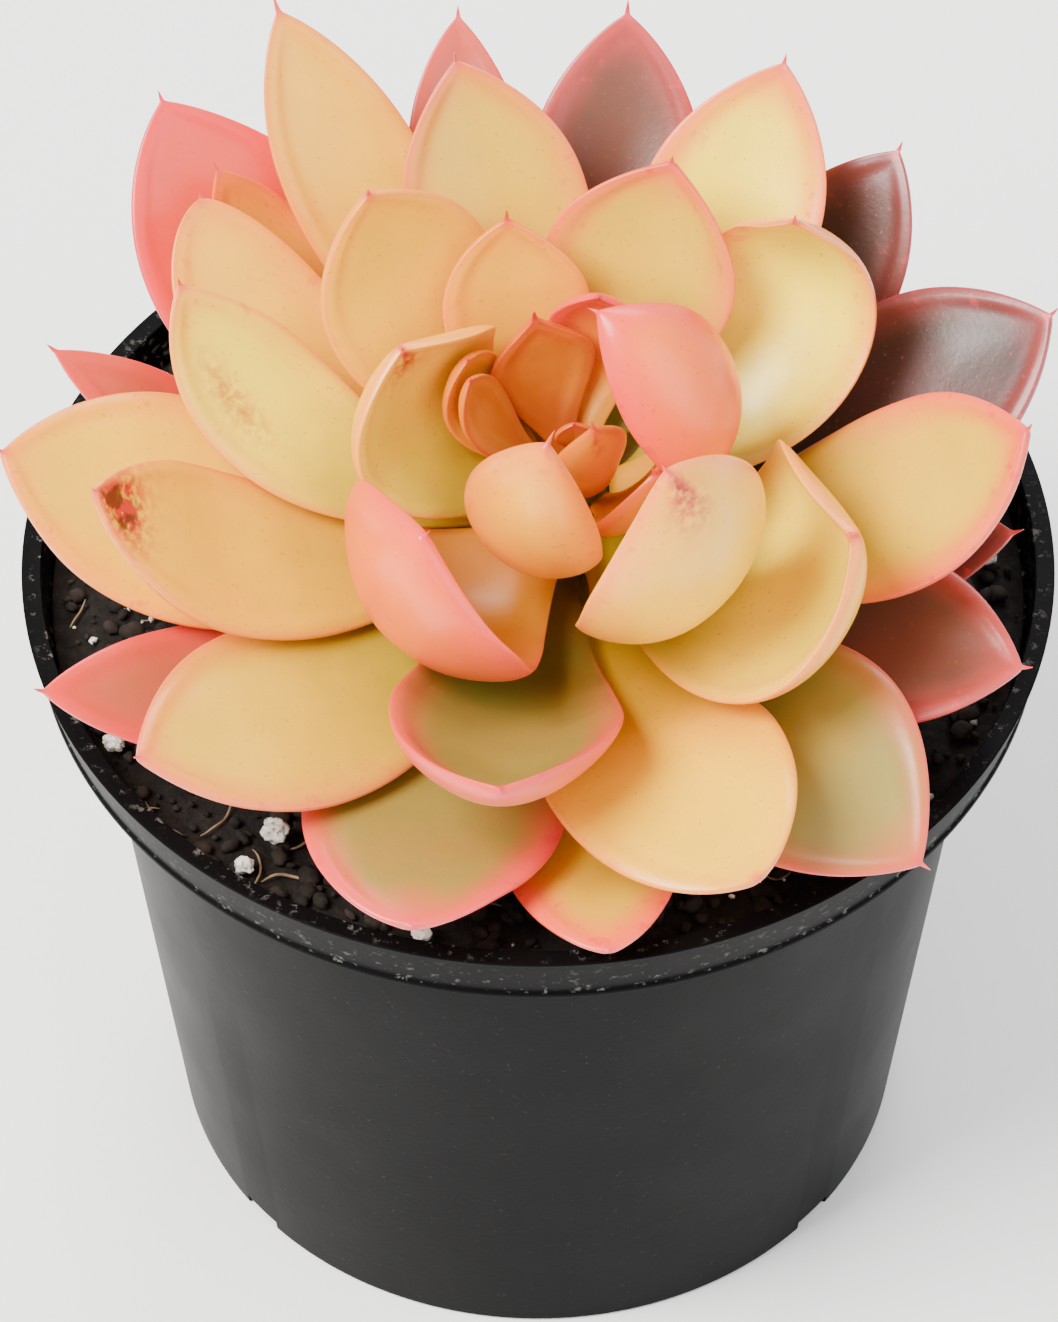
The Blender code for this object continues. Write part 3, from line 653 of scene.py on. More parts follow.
def leaf_spine(leaf, depth, along):
    """Centres, directions, sides and upper normals of the leaf's sections in the rosette's frame."""
    fine = np.linspace(0, 1, 101)
    pitch = np.radians(leaf.rise + (leaf.curl - leaf.rise) * fine**leaf.late)
    azimuth = math.radians(leaf.azimuth)
    heading = azimuth + np.radians(leaf.sweep + SWING * math.cos(azimuth)) * fine
    flow = flow_at(pitch, heading)
    steps = 0.5 * (flow[1:] + flow[:-1]) * leaf.length * MM / (len(fine) - 1)
    start_half = float(half_thickness(leaf, np.array(0.0)))
    start = stem_radius(depth + 2 * start_half) + BASE_GAP + start_half * math.sin(math.radians(leaf.rise))
    base = np.array((start * math.cos(azimuth), start * math.sin(azimuth), -depth))
    path = np.vstack((base, base + np.cumsum(steps, axis=0)))
    centres = np.stack([np.interp(along, fine, path[:, k]) for k in range(3)], axis=1)
    pitch = np.interp(along, fine, pitch)
    heading = np.interp(along, fine, heading)
    flow = flow_at(pitch, heading)
    side = np.stack((-np.sin(heading), np.cos(heading), np.zeros_like(heading)), axis=1)
    return centres, flow, side, np.cross(flow, side)


def slimmed(half, wide):
    """Half the thickness, held down where the leaf is narrow."""
    return np.minimum(half, 0.25 * half + 0.6 * wide)


def cup_height(leaf, wide, along, across):
    """How far the blade rises from its middle to its margins."""
    return leaf.cup * wide * across**2 * np.clip(along / 0.4, 0, 1)


def blade(leaf, along, across):
    """Offsets of the middle surface and half the thickness, at a share along and a share across."""
    wide = half_width(leaf, along)
    rim = EDGE_THICKNESS + (1 - EDGE_THICKNESS) * (1 - np.abs(across) ** CROSS_POWER) ** 0.5
    half = slimmed(half_thickness(leaf, along) * rim, wide)
    sunk = cup_height(leaf, wide, along, across) - (1 - 2 * UPPER_SHARE) * half
    return wide * across, sunk, half


def leaf_pads(leaf, depth):
    """Round pads over a leaf, as shares along, centres, radii and the way down."""
    ribs = max(5, math.ceil(leaf.length * MM / PAD_PITCH) + 1)
    along = np.linspace(0, 1, ribs)
    count = max(5, 2 * math.ceil(leaf.width * MM / PAD_PITCH / 2) + 1)
    across = np.sin(np.linspace(-1, 1, count) * math.pi / 2)
    centres, _, side, upper = leaf_spine(leaf, depth, along)
    sideways, raised, half = blade(leaf, along[:, None], across[None, :])
    pads = centres[:, None] + sideways[..., None] * side[:, None] + raised[..., None] * upper[:, None]
    return along, pads, np.maximum(half, PAD_LEAST), -upper


def eased(along, push):
    """A smooth bend along the leaf that is nowhere less than the push needed there."""
    reach = np.clip(np.abs(along[:, None] - along[None, :]) / PRESS_SPREAD, 0, 1)
    bell = 0.5 + 0.5 * np.cos(math.pi * reach)
    return np.sum((bell * push[None, :]) ** EASE_POWER, axis=1) ** (1 / EASE_POWER)


def press_leaves():
    """Lays the leaves from the heart outwards, and returns how far each is bent down at each share along."""
    placed, sizes = [], []
    bends = {}
    for order, leaf in enumerate(LEAVES):
        depth = FIRST_LEAF + LEAF_STEP * order
        along, pads, radii, down = leaf_pads(leaf, depth)
        pressed = np.zeros(len(along))
        bend = pressed
        for _ in range(PRESS_ROUNDS):
            if not placed:
                break
            moved = pads + (bend[:, None] * down)[:, None]
            fixed, fixed_radii = nearby(moved, placed, sizes)
            delta = moved[:, :, None] - fixed
            ahead = np.einsum("racd,rd->rac", delta, down)
            clear = radii[:, :, None] + fixed_radii + LEAF_GAP
            short = clear**2 - np.sum(delta**2, axis=-1)
            need = np.where(short > 0, np.sqrt(np.maximum(ahead**2 + short, 0)) - ahead, 0)
            push = need.max(axis=(1, 2)) if need.size else pressed * 0
            if push.max() < 0.01 * MM:
                break
            pressed = pressed + push
            bend = eased(along, pressed)
        bends[leaf.name] = (along, bend)
        placed.append((pads + (bend[:, None] * down)[:, None]).reshape(-1, 3))
        sizes.append(radii.reshape(-1))
    return bends


def nearby(moved, placed, sizes):
    """The pads already placed that lie within reach of this leaf's box."""
    margin = 2 * LEAF_THICKNESS
    low = moved.reshape(-1, 3).min(axis=0) - margin
    high = moved.reshape(-1, 3).max(axis=0) + margin
    points = np.vstack(placed)
    radii = np.concatenate(sizes)
    inside = ((points > low) & (points < high)).all(axis=1)
    return points[inside], radii[inside]


def lift_needed(bends):
    """How far the rosette has to rise so that its lowest leaf clears the rim and the mix."""
    rosette = Rosette()
    lift = 0.0
    mouth = RIM_RADIUS - LIP_WIDTH - GAP
    for order, leaf in enumerate(LEAVES):
        _, pads, radii, down = leaf_pads(leaf, FIRST_LEAF + LEAF_STEP * order)
        moved = pads + (bends[leaf.name][1][:, None] * down)[:, None]
        points = rosette.place(moved.reshape(-1, 3))
        radii = radii.reshape(-1)
        outside = np.hypot(points[:, 0], points[:, 1]) + radii > mouth
        floor = np.where(outside, POT_HEIGHT, POT_HEIGHT - SOIL_DROP + SOIL_BUMP) + GAP
        lift = max(lift, float((floor + radii - points[:, 2]).max()))
    return lift


# ---------------------------------------------------------------------------- leaves


def fine_leaf(leaf, order, bend, rosette, looks):
    """A leaf's finished surface: rounded margins, a fine rim inside them, and a sharp point."""
    depth = FIRST_LEAF + LEAF_STEP * order
    chance = random.Random(leaf.name)
    shares = np.linspace(0, 1, looks.rib_steps)
    blade_part = 1 - (1 - shares) ** 1.35
    point_length = leaf.spine * MM
    extra = np.linspace(0, 1, POINT_ROWS + 1)[1:] * point_length
    along = np.concatenate((blade_part, np.ones(len(extra))))
    beyond = np.concatenate((np.zeros(len(blade_part)), extra))
    from_end = (1 - along) * leaf.length * MM + point_length - beyond

    centres, flow, side, upper = leaf_spine(leaf, depth, along)
    bent = np.interp(along, *bend)
    kernel = np.hanning(7) / np.hanning(7).sum()
    bent = np.convolve(np.pad(bent, 3, mode="edge"), kernel, mode="valid")
    centres = centres - upper * bent[:, None] + flow * beyond[:, None]
    centres = centres + upper * (0.25 * beyond**2 / max(point_length, MM))[:, None]

    columns = looks.cross_steps
    turn = np.linspace(0, math.pi, columns + 1)
    across = -np.cos(turn)[None, :]
    thorn = THORN * np.clip(from_end / (point_length + THORN_RUN), 0, 1) ** 0.8
    wide = (half_width(leaf, along) ** 3 + thorn**3) ** (1 / 3)
    wide[-1] = 0.03 * MM
    middle = slimmed(half_thickness(leaf, along), half_width(leaf, along))
    middle = (middle**3 + (0.8 * thorn) ** 3) ** (1 / 3)
    lens = (1 - np.abs(across) ** CROSS_POWER) ** 0.5
    lip = (1 - np.abs(across) ** 16) ** 0.5
    half = middle[:, None] * (EDGE_THICKNESS * lip + (1 - EDGE_THICKNESS) * lens)
    cupped = cup_height(leaf, wide[:, None], along[:, None], across)
    raised = cupped - (1 - 2 * UPPER_SHARE) * half

    margin = (1 - np.abs(across)) * wide[:, None]
    full = np.clip(along / 0.3, 0, 1) * np.clip(from_end / (6 * MM), 0, 1)
    rim = np.exp(-(((margin - looks.rim_inset) / (0.5 * MM)) ** 2)) * full[:, None]
    groove = np.exp(-(((margin - 2.1 * looks.rim_inset) / (0.8 * MM)) ** 2)) * full[:, None]
    upper_face = raised + half + looks.rim_height * (rim - 0.7 * groove)
    under_face = raised - half

    sideways = wide[:, None] * across
    plane = centres[:, None] + sideways[..., None] * side[:, None]

    def ringed(top, low):
        """Values over the upper face, and then back over the lower one."""
        return np.concatenate((top, low[:, columns - 1 : 0 : -1]), axis=1)

    top, low = (plane + face[..., None] * upper[:, None] for face in (upper_face, under_face))
    rings = ringed(top, low)
    size = rings.shape[1]

    seed = random_shift(chance, 50)
    local = ringed(sideways, sideways)
    swell = np.zeros(rings.shape[:2])
    for row in range(len(along)):
        for column in range(size):
            face = 0.0 if column <= columns else 9.0
            spot = Vector((local[row, column] / (7 * MM), along[row] * leaf.length * MM / (9 * MM), face))
            swell[row, column] = noise.noise(spot + seed)
    swell *= looks.waviness * np.clip(wide / (4 * MM), 0, 1)[:, None]
    rings = rings + swell[..., None] * upper[:, None]

    span = np.repeat(along[:, None], size, axis=1)
    end = np.repeat(from_end[:, None], size, axis=1) - point_length
    level = np.repeat(across, len(along), 0)
    share_across = ringed(level, level)
    under = np.zeros_like(span)
    under[:, columns + 1 :] = 1
    under[:, 0] = under[:, columns] = 0.5
    scar = np.zeros_like(span)
    if leaf.scar:
        where, to_side, long, broad, strength = leaf.scar
        reach = ((span - where) / long) ** 2 + ((share_across - to_side) / broad) ** 2
        scar = strength * np.exp(-reach)
    to_tip = np.hypot(end / MM, share_across * wide[:, None] / MM)
    masks = {
        "along": span,
        "margin": ringed(margin, margin) / MM,
        "tip": np.where(end < 0, end / MM, to_tip),
        "under": under,
        "scar": scar,
        "blush": np.full_like(span, leaf.blush * chance.uniform(0.9, 1.1)),
    }
    vertices = rosette.place(rings.reshape(-1, 3))
    faces = ring_faces(len(along), size)
    return vertices, faces, {key: values.reshape(-1) for key, values in masks.items()}


class SUCCULENT_OT_leaves(bpy.types.Operator):
    """Make every leaf of the rosette"""

    bl_idname = "succulent.leaves"
    bl_label = "Leaves"

    def execute(self, context):
        looks = context.scene.succulent_leaves
        bends = press_leaves()
        rosette = Rosette(lift_needed(bends))
        for order, leaf in enumerate(LEAVES):
            vertices, faces, masks = fine_leaf(leaf, order, bends[leaf.name], rosette, looks)
            low, high = (np.array(corner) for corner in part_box(leaf.name))
            if (vertices.min(0) < low - BOX_SLACK).any() or (vertices.max(0) > high + BOX_SLACK).any():
                raise RuntimeError(f"{leaf.name} has left the box of its solid")
            obj = mesh_object("skin_" + leaf.name, vertices, faces, skin_material(leaf.skin), masks)
            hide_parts(leaf.name)
        return {"FINISHED"}


class SUCCULENT_OT_stem(bpy.types.Operator):
    """Make the short stem, ringed with the scars of old leaves"""

    bl_idname = "succulent.stem"
    bl_label = "Stem"

    def execute(self, context):
        looks = context.scene.succulent_mix
        lean = math.radians(LEAN)
        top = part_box("stem")[1].z + STEM_TOP * math.cos(lean) - STEM_TOP_RADIUS * math.sin(lean)
        rosette = Rosette(top - POT_HEIGHT - HEART_RISE)
        foot = (rosette.heart[2] - (POT_HEIGHT - SOIL_DROP - STEM_ROOTED)) / math.cos(lean)
        rows, size = 70, 48
        vertices = []
        for row in range(rows):
            depth = STEM_TOP + (foot - STEM_TOP) * row / (rows - 1)
            for k in range(size):
                angle = math.tau * k / size
                radius = stem_radius(depth) * (1 - 0.03 * abs(math.sin(depth / (0.9 * MM) + 3 * angle)))
                x, y = radius * math.cos(angle), radius * math.sin(angle)
                radius *= 1 + 0.02 * rough((x, y, depth), 1.2 * MM)
                vertices.append((radius * math.cos(angle), radius * math.sin(angle), -depth))
        dark = tuple(0.35 * c for c in looks.bark_colour)
        bark = earthy_material("stem bark", dark, looks.bark_colour[:], 700.0, 0.45, 0.4 * MM, 0.75)
        faces = ring_faces(rows, size)
        outwards = [face[::-1] for face in faces]
        obj = mesh_object("stem_bark", rosette.place(np.array(vertices)), outwards, bark)
        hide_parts("stem")
        return {"FINISHED"}


# ---------------------------------------------------------------------------- pot


def wall_radius(height):
    """Outer radius of the tapered wall at a height."""
    top_radius = RIM_RADIUS - RIM_TAPER - BAND_STEP
    return BASE_RADIUS + (top_radius - BASE_RADIUS) * height / (POT_HEIGHT - RIM_DEPTH)


def rounded(profile, fillet, steps=5):
    """The profile with each corner replaced by a short arc, where there is room for one."""
    points = []
    for k, (radius, height) in enumerate(profile):
        here = Vector((radius, height))
        before = Vector(profile[k - 1]) - here
        after = Vector(profile[(k + 1) % len(profile)]) - here
        if radius == 0:
            points.append((radius, height))
            continue
        reach = min(fillet, 0.4 * before.length, 0.4 * after.length)
        start, end = here + before.normalized() * reach, here + after.normalized() * reach
        for step in range(steps + 1):
            t = step / steps
            spot = start * (1 - t) ** 2 + here * 2 * t * (1 - t) + end * t * t
            points.append((spot.x, spot.y))
    return points


def turned(profile, segments):
    """Vertices and faces of a closed profile turned about Z; a radius of zero is a pole."""
    vertices, rows, faces = [], [], []
    for radius, height in profile:
        if radius == 0:
            rows.append([len(vertices)] * segments)
            vertices.append((0.0, 0.0, height))
            continue
        rows.append(list(range(len(vertices), len(vertices) + segments)))
        vertices += circle(radius, height, segments)
    for low, high in zip(rows, rows[1:] + rows[:1]):
        if low[0] == low[1] and high[0] == high[1]:
            continue
        for k in range(segments):
            after = (k + 1) % segments
            faces.append(list(dict.fromkeys([low[k], low[after], high[after], high[k]])))
    return vertices, faces


def swung(angle, place):
    """A move to a place, and then a turn about Z."""
    return Matrix.Rotation(angle, 4, "Z") @ Matrix.Translation(place)


def cutter_object(name, shapes):
    """One object that holds all the slots or holes of a cut, each as its kind, placing and size."""
    mesh = bpy.data.meshes.new(name)
    shape = bmesh.new()
    for kind, matrix, scale in shapes:
        if kind == "slot":
            made = bmesh.ops.create_cube(shape, size=1.0)["verts"]
        else:
            made = bmesh.ops.create_cone(
                shape, cap_ends=True, segments=32, radius1=1, radius2=1, depth=1
            )["verts"]
        for vertex in made:
            vertex.co = matrix @ Vector([a * b for a, b in zip(vertex.co, scale)])
    shape.to_mesh(mesh)
    shape.free()
    return linked(name, mesh)


class SUCCULENT_OT_pot(bpy.types.Operator):
    """Make the round nursery pot with its band, shoulder, foot notches and drain holes"""

    bl_idname = "succulent.pot"
    bl_label = "Nursery Pot"

    def execute(self, context):
        looks = context.scene.succulent_pot
        band_foot = POT_HEIGHT - RIM_DEPTH
        band_radius = RIM_RADIUS - RIM_TAPER
        floor_top = FLOOR_LIFT + WALL
        shelf = band_foot + WALL
        profile = [
            (0, FLOOR_LIFT),
            (BASE_RADIUS - FOOT_ROUND - FOOT_WIDTH - FOOT_BEVEL, FLOOR_LIFT),
            (BASE_RADIUS - FOOT_ROUND - FOOT_WIDTH, 0),
            (BASE_RADIUS - FOOT_ROUND, 0),
            (wall_radius(FOOT_ROUND), FOOT_ROUND),
            (wall_radius(band_foot), band_foot),
            (band_radius, band_foot),
            (band_radius + RIDGE, band_foot + 0.3 * RIDGE),
            (band_radius + RIDGE, band_foot + 2.2 * RIDGE),
            (band_radius, band_foot + 3.2 * RIDGE),
            (RIM_RADIUS, POT_HEIGHT - 0.1 * MM),
            (RIM_RADIUS - 0.1 * MM, POT_HEIGHT),
            (RIM_RADIUS - LIP_WIDTH + 0.1 * MM, POT_HEIGHT),
            (RIM_RADIUS - LIP_WIDTH, POT_HEIGHT - 0.1 * MM),
            (band_radius - WALL, shelf),
            (wall_radius(shelf) - WALL, shelf),
            (wall_radius(floor_top) - WALL, floor_top),
            (0, floor_top),
        ]
        vertices, faces = turned(rounded(profile, looks.fillet), looks.segments)
        obj = mesh_object("moulded_pot", vertices, faces, self.plastic(looks))
        slot_size = (8 * WALL, NOTCH_WIDTH, 2 * NOTCH_HEIGHT)
        hole_size = (HOLE_RADIUS, HOLE_RADIUS, 4 * FLOOR_LIFT)
        slots, holes = [], []
        for degrees in NOTCH_ANGLES:
            slots.append(("slot", swung(math.radians(degrees), (BASE_RADIUS, 0, 0)), slot_size))
        for k in range(HOLES):
            holes.append(("hole", swung(math.tau * k / HOLES, (HOLE_CIRCLE, 0, FLOOR_LIFT)), hole_size))
        for name, shapes in (("foot_notches", slots), ("floor_holes", holes)):
            cutter = cutter_object(name, shapes)
            modifier = obj.modifiers.new(name, "BOOLEAN")
            modifier.operation = "DIFFERENCE"
            modifier.solver = "EXACT"
            modifier.object = cutter
        context.view_layer.update()
        finished = bpy.data.meshes.new_from_object(obj.evaluated_get(context.evaluated_depsgraph_get()))
        obj.modifiers.clear()
        obj.data = finished
        for name in ("foot_notches", "floor_holes"):
            bpy.data.objects.remove(bpy.data.objects[name])
        finished.shade_smooth()
        finished.set_sharp_from_angle(angle=math.radians(50))
        inside = finished.attributes.new("inside", "FLOAT", "POINT")
        for k, vertex in enumerate(finished.vertices):
            radius = math.hypot(vertex.co.x, vertex.co.y)
            is_in = vertex.co.z > shelf - 0.5 * MM and radius < RIM_RADIUS - 0.6 * LIP_WIDTH
            inside.data[k].value = 1.0 if is_in else 0.0
        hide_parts("nursery_pot")
        return {"FINISHED"}

    def plastic(self, looks):
        material, graph, shader = new_material("nursery plastic", Specular_IOR_Level=0.03)
        base = Vector(looks.plastic_colour)
        cloud = graph.smooth(graph.noise(35.0, 4.0, 0.6), 0.35, 0.7)
        tint = graph.mix(cloud, tuple(0.85 * base), tuple(1.15 * base))
        film = graph.smooth(graph.noise(1500.0, 2.0, 0.7), 0.66, 0.74)
        grains = graph.smooth(graph.noise(900.0, 3.0, 0.7), 0.57, 0.66)
        dust = graph.times(grains, graph.mask("inside"))
        tint = graph.mix(graph.times(dust, 0.3), tint, looks.dust_colour[:])
        tint = graph.mix(graph.times(film, 0.05), tint, looks.dust_colour[:])
        graph.feed(shader["Base Color"], tint)
        wear = graph.times(graph.noise(60.0, 5.0, 0.65), 0.16)
        graph.feed(shader["Roughness"], graph.math("ADD", wear, 0.34))
        peel = graph.math("ADD", graph.noise(1600.0, 2.0, 0.5), graph.times(dust, 2.0))
        graph.relief(shader, peel, 0.25, 0.05 * MM)
        return material


# ---------------------------------------------------------------------------- potting mix


def soil_bump(x, y):
    """Gentle lumps over the surface of the mix."""
    wave = math.sin(x / (5.1 * MM) + 0.7) * math.cos(y / (6.3 * MM) - 0.4)
    wave += 0.6 * math.sin((x + y) / (3.4 * MM) + 2.1)
    return SOIL_BUMP * wave / 1.6


def soil_edge():
    """Radius of the mix where it meets the band's wall."""
    return RIM_RADIUS - RIM_TAPER - WALL - GAP


def leaf_tree():
    """A search tree of all the leaves' faces, so that loose grains can keep clear of them."""
    points, faces = [], []
    for obj in bpy.data.objects:
        if obj.name.startswith("skin_"):
            start = len(points)
            points += [v.co[:] for v in obj.data.vertices]
            sides = [polygon.vertices for polygon in obj.data.polygons if len(polygon.vertices) == 4]
            faces += [[start + k for k in side] for side in sides]
    return BVHTree.FromPolygons(points, faces)


def scatter_spot(chance, tree, size):
    """A spot on the ring of mix outside the bare disc, clear of every leaf, or None."""
    radius = math.sqrt(chance.uniform(BARE_MIX**2, (soil_edge() - 0.6 * size) ** 2))
    angle = chance.uniform(0, math.tau)
    x, y = radius * math.cos(angle), radius * math.sin(angle)
    spot = Vector((x, y, POT_HEIGHT - SOIL_DROP + soil_bump(x, y) + 0.2 * size))
    hit = tree.find_nearest(spot, 0.9 * size)
    return spot if hit[0] is None else None


def lump(chance, size, squash, detail):
    """One rough grain about its own centre."""
    shape = bmesh.new()
    bmesh.ops.create_icosphere(shape, subdivisions=detail, radius=0.5 * size)
    shift = random_shift(chance, 9)
    stretch = Vector((1.0, chance.uniform(0.55, 1.0), squash))
    turn = Matrix.Rotation(chance.uniform(0, math.tau), 3, "Z")
    turn = turn @ Matrix.Rotation(chance.uniform(-0.5, 0.5), 3, "X")
    for vertex in shape.verts:
        push = 1 + 0.34 * noise.noise(vertex.co / (0.30 * size) + shift)
        push += 0.14 * noise.noise(vertex.co / (0.12 * size) + shift)
        vertex.co = turn @ Vector([c * s for c, s in zip(vertex.co * push, stretch)])
    points = [v.co.copy() for v in shape.verts]
    faces = [[v.index for v in f.verts] for f in shape.faces]
    shape.free()
    return points, faces


def joined(pieces):
    """Vertices and faces of many loose pieces as those of one mesh."""
    vertices, faces = [], []
    for points, sides in pieces:
        start = len(vertices)
        vertices += points
        faces += [[start + k for k in side] for side in sides]
    return vertices, faces


def strewn(chance, tree, count, size_of, squash_of, rise):
    """Many small grains on the mix, wherever no leaf is in the way."""
    pieces = []
    for _ in range(count):
        size = size_of()
        spot = scatter_spot(chance, tree, size)
        points, faces = lump(chance, size, squash_of(), 2)
        if spot is not None:
            spot.z += rise * size
            pieces.append(([point + spot for point in points], faces))
    return joined(pieces)


class SUCCULENT_OT_mix(bpy.types.Operator):
    """Make the potting mix with its loose crumbs and fibres"""

    bl_idname = "succulent.mix"
    bl_label = "Potting Mix"

    def execute(self, context):
        looks = context.scene.succulent_mix
        tree = leaf_tree()
        self.bed(looks)
        self.crumbs(looks, tree)
        self.fibres(looks, tree)
        return {"FINISHED"}

    def bed(self, looks):
        edge = soil_edge()
        surface = POT_HEIGHT - SOIL_DROP
        shelf = POT_HEIGHT - RIM_DEPTH + WALL + GAP
        floor = FLOOR_LIFT + WALL + GAP
        segments = MIX_SEGMENTS
        shown = np.linspace(BARE_MIX + 0.4 * MM, edge, 64)
        radii = list(np.linspace(2 * MM, BARE_MIX, 12)) + list(shown)
        vertices = [(0.0, 0.0, surface)]
        for radius in radii:
            for x, y, _ in circle(radius, surface, segments):
                lumps = 0.32 * MM * rough((x, y, 0), 1.6 * MM, 4) + 0.10 * MM * rough((x, y, 5), 0.5 * MM, 2)
                vertices.append((x, y, surface + soil_bump(x, y) + lumps - 0.25 * MM))
        inset = WALL + GAP
        outline = [(edge, shelf), (wall_radius(shelf) - inset, shelf), (wall_radius(floor) - inset, floor)]
        for radius, height in outline:
            vertices += circle(radius, height, segments)
        rings = len(radii) + len(outline)
        faces = [(0, 1 + k, 1 + (k + 1) % segments) for k in range(segments)]
        for ring in range(rings - 1):
            inner, outer = 1 + ring * segments, 1 + (ring + 1) * segments
            for k in range(segments):
                after = (k + 1) % segments
                faces.append((inner + k, outer + k, outer + after, inner + after))
        last = 1 + (rings - 1) * segments
        faces.append(tuple(last + k for k in reversed(range(segments))))
        damp = tuple(0.6 * c for c in looks.crumb_colour)
        peat = earthy_material("damp peat", looks.peat_colour[:], damp, 900.0, 0.56, 0.5 * MM, 0.85)
        obj = mesh_object("peat_bed", vertices, faces, peat)
        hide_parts("soil")

    def crumbs(self, looks, tree):
        chance = random.Random("crumbs")

        def size():
            return looks.crumb_size * chance.uniform(0.2, 1.0) ** 2.2 + 0.35 * MM

        vertices, faces = strewn(chance, tree, looks.crumbs, size, lambda: chance.uniform(0.45, 0.8), 0.0)
        colours = looks.peat_colour[:], looks.crumb_colour[:]
        dry = earthy_material("dry crumb", *colours, 260.0, 0.50, 0.3 * MM, 0.9)
        mesh_object("peat_crumbs", vertices, faces, dry)

    def fibres(self, looks, tree):
        chance = random.Random("fibres")
        pieces = []
        sides = 6
        for _ in range(looks.fibres):
            spot = scatter_spot(chance, tree, 2.2 * MM)
            heading, bend = chance.uniform(0, math.tau), chance.uniform(-0.35, 0.35)
            thick, steps = chance.uniform(0.06, 0.18) * MM, chance.randint(6, 14)
            if spot is None:
                continue
            points = []
            for step in range(steps):
                taper = math.sin(math.pi * (step + 0.6) / steps) ** 0.4
                heading += bend
                along = Vector((math.cos(heading), math.sin(heading), 0))
                beside = Vector((-along.y, along.x, 0))
                spot = spot + along * 0.55 * MM
                reach = math.hypot(spot.x, spot.y)
                if reach > soil_edge() - 0.3 * MM:
                    spot = spot * ((soil_edge() - 0.3 * MM) / reach)
                height = POT_HEIGHT - SOIL_DROP + soil_bump(spot.x, spot.y) + 0.35 * MM
                spot = Vector((spot.x, spot.y, height + 0.15 * MM * math.sin(step)))
                for cosine, sine, _ in circle(1.0, 0.0, sides):
                    points.append(spot + (beside * cosine + Vector((0, 0, sine))) * thick * taper)
            pieces.append((points, ring_faces(steps, sides)))
        vertices, faces = joined(pieces)
        dark = tuple(0.4 * c for c in looks.fibre_colour)
        straw = earthy_material("plant fibre", dark, looks.fibre_colour[:], 300.0, 0.5, 0.1 * MM, 0.8)
        mesh_object("peat_fibres", vertices, faces, straw)


class SUCCULENT_OT_perlite(bpy.types.Operator):
    """Make the white expanded grains that lie on the mix"""

    bl_idname = "succulent.perlite"
    bl_label = "Perlite"

    def execute(self, context):
        looks = context.scene.succulent_mix
        white = self.foam(looks)
        for name in sorted(n for n in frame["nodes"] if n.startswith("perlite_")):
            low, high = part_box(name)
            chance = random.Random(name)
            centre, span = (low + high) / 2, high - low
            points, faces = lump(chance, 1.0, 0.9, 4)
            reach = max(max(abs(c) for c in p) for p in points)
            vertices = [centre + Vector([c / reach * s * 0.5 for c, s in zip(p, span)]) for p in points]
            obj = mesh_object("grain_" + name, vertices, faces, white)
            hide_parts(name)
        chance = random.Random("grit")
        tree = leaf_tree()
        vertices, faces = strewn(
            chance, tree, looks.grit, lambda: chance.uniform(0.35, 1.0) * MM, lambda: 0.8, 0.2
        )
        mesh_object("perlite_grit", vertices, faces, white)
        return {"FINISHED"}

    def foam(self, looks):
        material, graph, shader = new_material("expanded perlite", Roughness=0.9, Specular_IOR_Level=0.3)
        pores = graph.smooth(graph.noise(1800.0, 3.0, 0.6), 0.30, 0.50)
        dirt = graph.smooth(graph.noise(420.0, 4.0, 0.6), 0.60, 0.72)
        tint = graph.mix(pores, tuple(0.45 * c for c in looks.perlite_colour), looks.perlite_colour[:])
        tint = graph.mix(graph.times(dirt, 0.6), tint, looks.crumb_colour[:])
        graph.feed(shader["Base Color"], tint)
        graph.relief(shader, pores, 0.8, 0.15 * MM)
        return material


# ---------------------------------------------------------------------------- stage


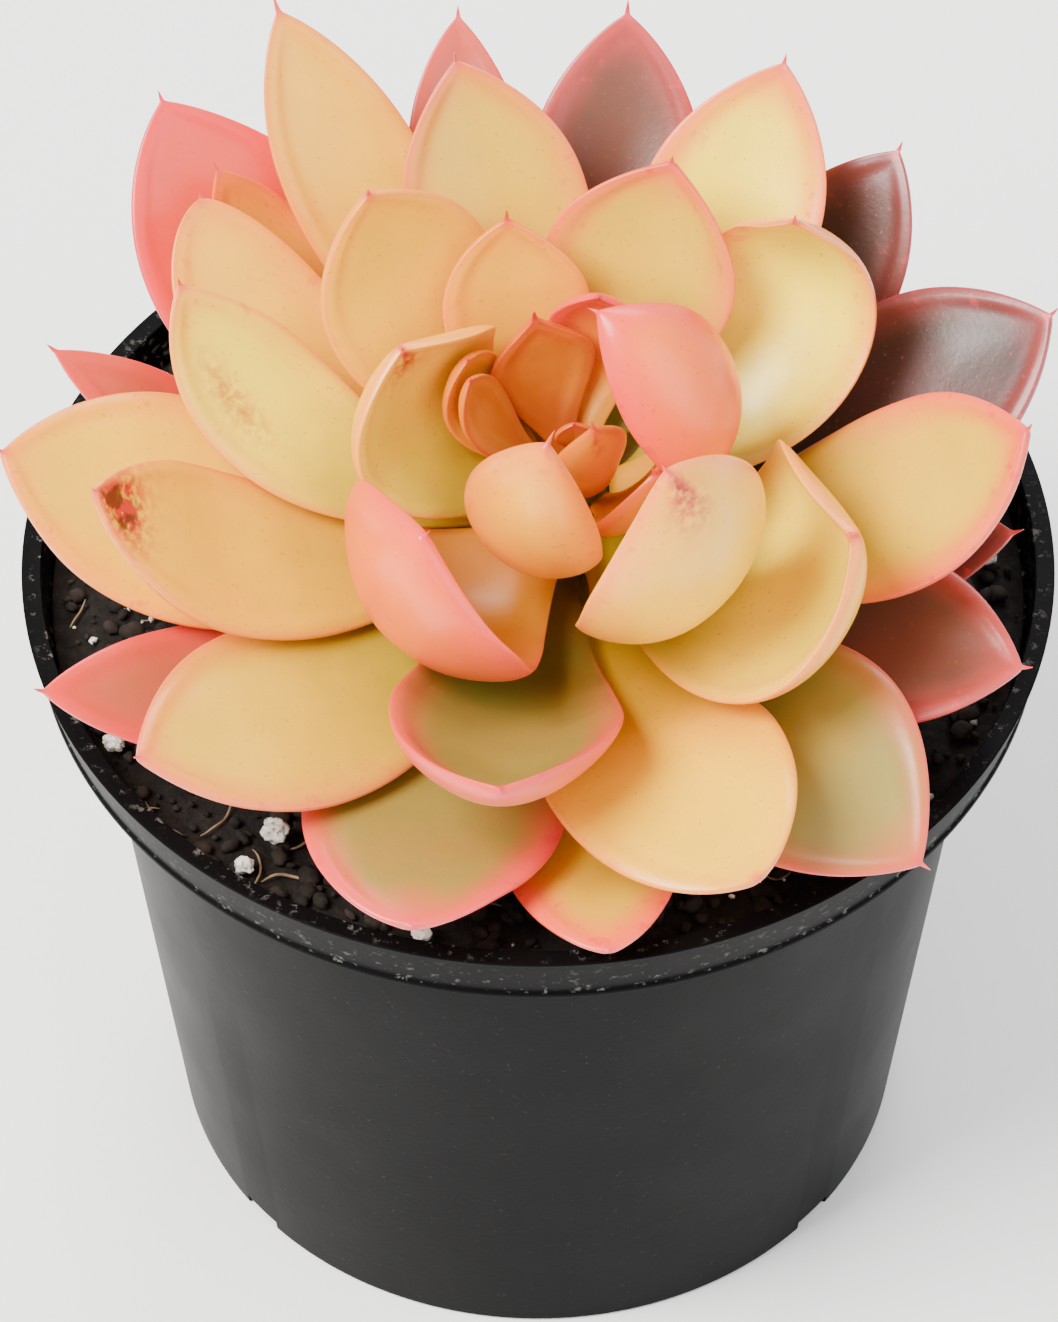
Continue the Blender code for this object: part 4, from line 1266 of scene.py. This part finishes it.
class SUCCULENT_OT_stage(bpy.types.Operator):
    """Make the plain floor, the lamps and the camera"""

    bl_idname = "succulent.stage"
    bl_label = "Stage"

    def execute(self, context):
        looks = context.scene.succulent_stage
        self.floor(looks)
        self.sky(context.scene, looks)
        for name in LAMPS:
            self.lamp(name + "_lamp", getattr(looks, name + "_power"), *LAMPS[name])
        self.camera(context.scene, looks)
        return {"FINISHED"}

    def floor(self, looks):
        material, graph, shader = new_material("pale floor", Roughness=0.8)
        tone = graph.noise(3.0, 2.0, 0.5)
        paler = tuple(0.985 * c for c in looks.floor_colour)
        graph.feed(shader["Base Color"], graph.mix(tone, looks.floor_colour[:], paler))
        mesh = bpy.data.meshes.new("floor")
        corners = [(x * FLOOR_REACH, y * FLOOR_REACH, 0) for x, y in ((-1, -1), (1, -1), (1, 1), (-1, 1))]
        mesh.from_pydata(corners, [], [(0, 1, 2, 3)])
        mesh.materials.append(material)
        linked("floor", mesh)

    def sky(self, scene, looks):
        world = bpy.data.worlds.new("studio")
        world.use_nodes = True
        light = world.node_tree.nodes["Background"].inputs
        light["Color"].default_value = (1.0, 1.0, 1.0, 1.0)
        light["Strength"].default_value = looks.sky
        scene.world = world

    def lamp(self, name, power, size, place, colour):
        data = bpy.data.lights.new(name, "AREA")
        data.energy = power
        data.size = size
        data.color = colour
        lamp = linked(name, data)
        lamp.location = place
        aim = LAMP_AIM - Vector(place)
        lamp.rotation_euler = aim.to_track_quat("-Z", "Y").to_euler()

    def camera(self, scene, looks):
        data = bpy.data.cameras.new("camera")
        data.lens = looks.lens
        data.sensor_width = SENSOR_WIDTH
        camera = linked("camera", data)
        high, far = math.sin(looks.elevation), math.cos(looks.elevation)
        ahead, above = Vector((0, far, -high)), Vector((0, high, far))
        camera.location = Vector((0, 0, POT_HEIGHT)) - ahead * looks.distance
        aim = ahead + Vector((LOOK_RIGHT, 0, 0)) + above * LOOK_UP
        camera.rotation_euler = aim.to_track_quat("-Z", "Y").to_euler()
        scene.camera = camera


# ---------------------------------------------------------------------------- panel and registration


STEPS = (
    SUCCULENT_OT_leaves,
    SUCCULENT_OT_stem,
    SUCCULENT_OT_pot,
    SUCCULENT_OT_mix,
    SUCCULENT_OT_perlite,
    SUCCULENT_OT_stage,
)
GROUPS = {
    "succulent_leaves": SUCCULENT_PG_leaves,
    "succulent_pot": SUCCULENT_PG_pot,
    "succulent_mix": SUCCULENT_PG_mix,
    "succulent_stage": SUCCULENT_PG_stage,
}


class SUCCULENT_PT_panel(bpy.types.Panel):
    """Lists the settings and the steps"""

    bl_idname = "SUCCULENT_PT_panel"
    bl_label = "Potted Succulent"
    bl_space_type = "VIEW_3D"
    bl_region_type = "UI"
    bl_category = "Succulent"

    def draw(self, context):
        for key, group in GROUPS.items():
            box = self.layout.box()
            for field in group.__annotations__:
                box.prop(getattr(context.scene, key), field)
        for step in STEPS:
            self.layout.operator(step.bl_idname)


def register():
    for cls in (*GROUPS.values(), *STEPS, SUCCULENT_PT_panel):
        bpy.utils.register_class(cls)
    for key, group in GROUPS.items():
        setattr(bpy.types.Scene, key, PointerProperty(type=group))


def unregister():
    for key in GROUPS:
        delattr(bpy.types.Scene, key)
    for cls in reversed((*GROUPS.values(), *STEPS, SUCCULENT_PT_panel)):
        bpy.utils.unregister_class(cls)


def main():
    register()
    bpy.ops.succulent.leaves()
    bpy.ops.succulent.stem()
    bpy.ops.succulent.pot()
    bpy.ops.succulent.mix()
    bpy.ops.succulent.perlite()
    bpy.ops.succulent.stage()
    bpy.context.view_layer.update()


if __name__ == "__main__":
    main()
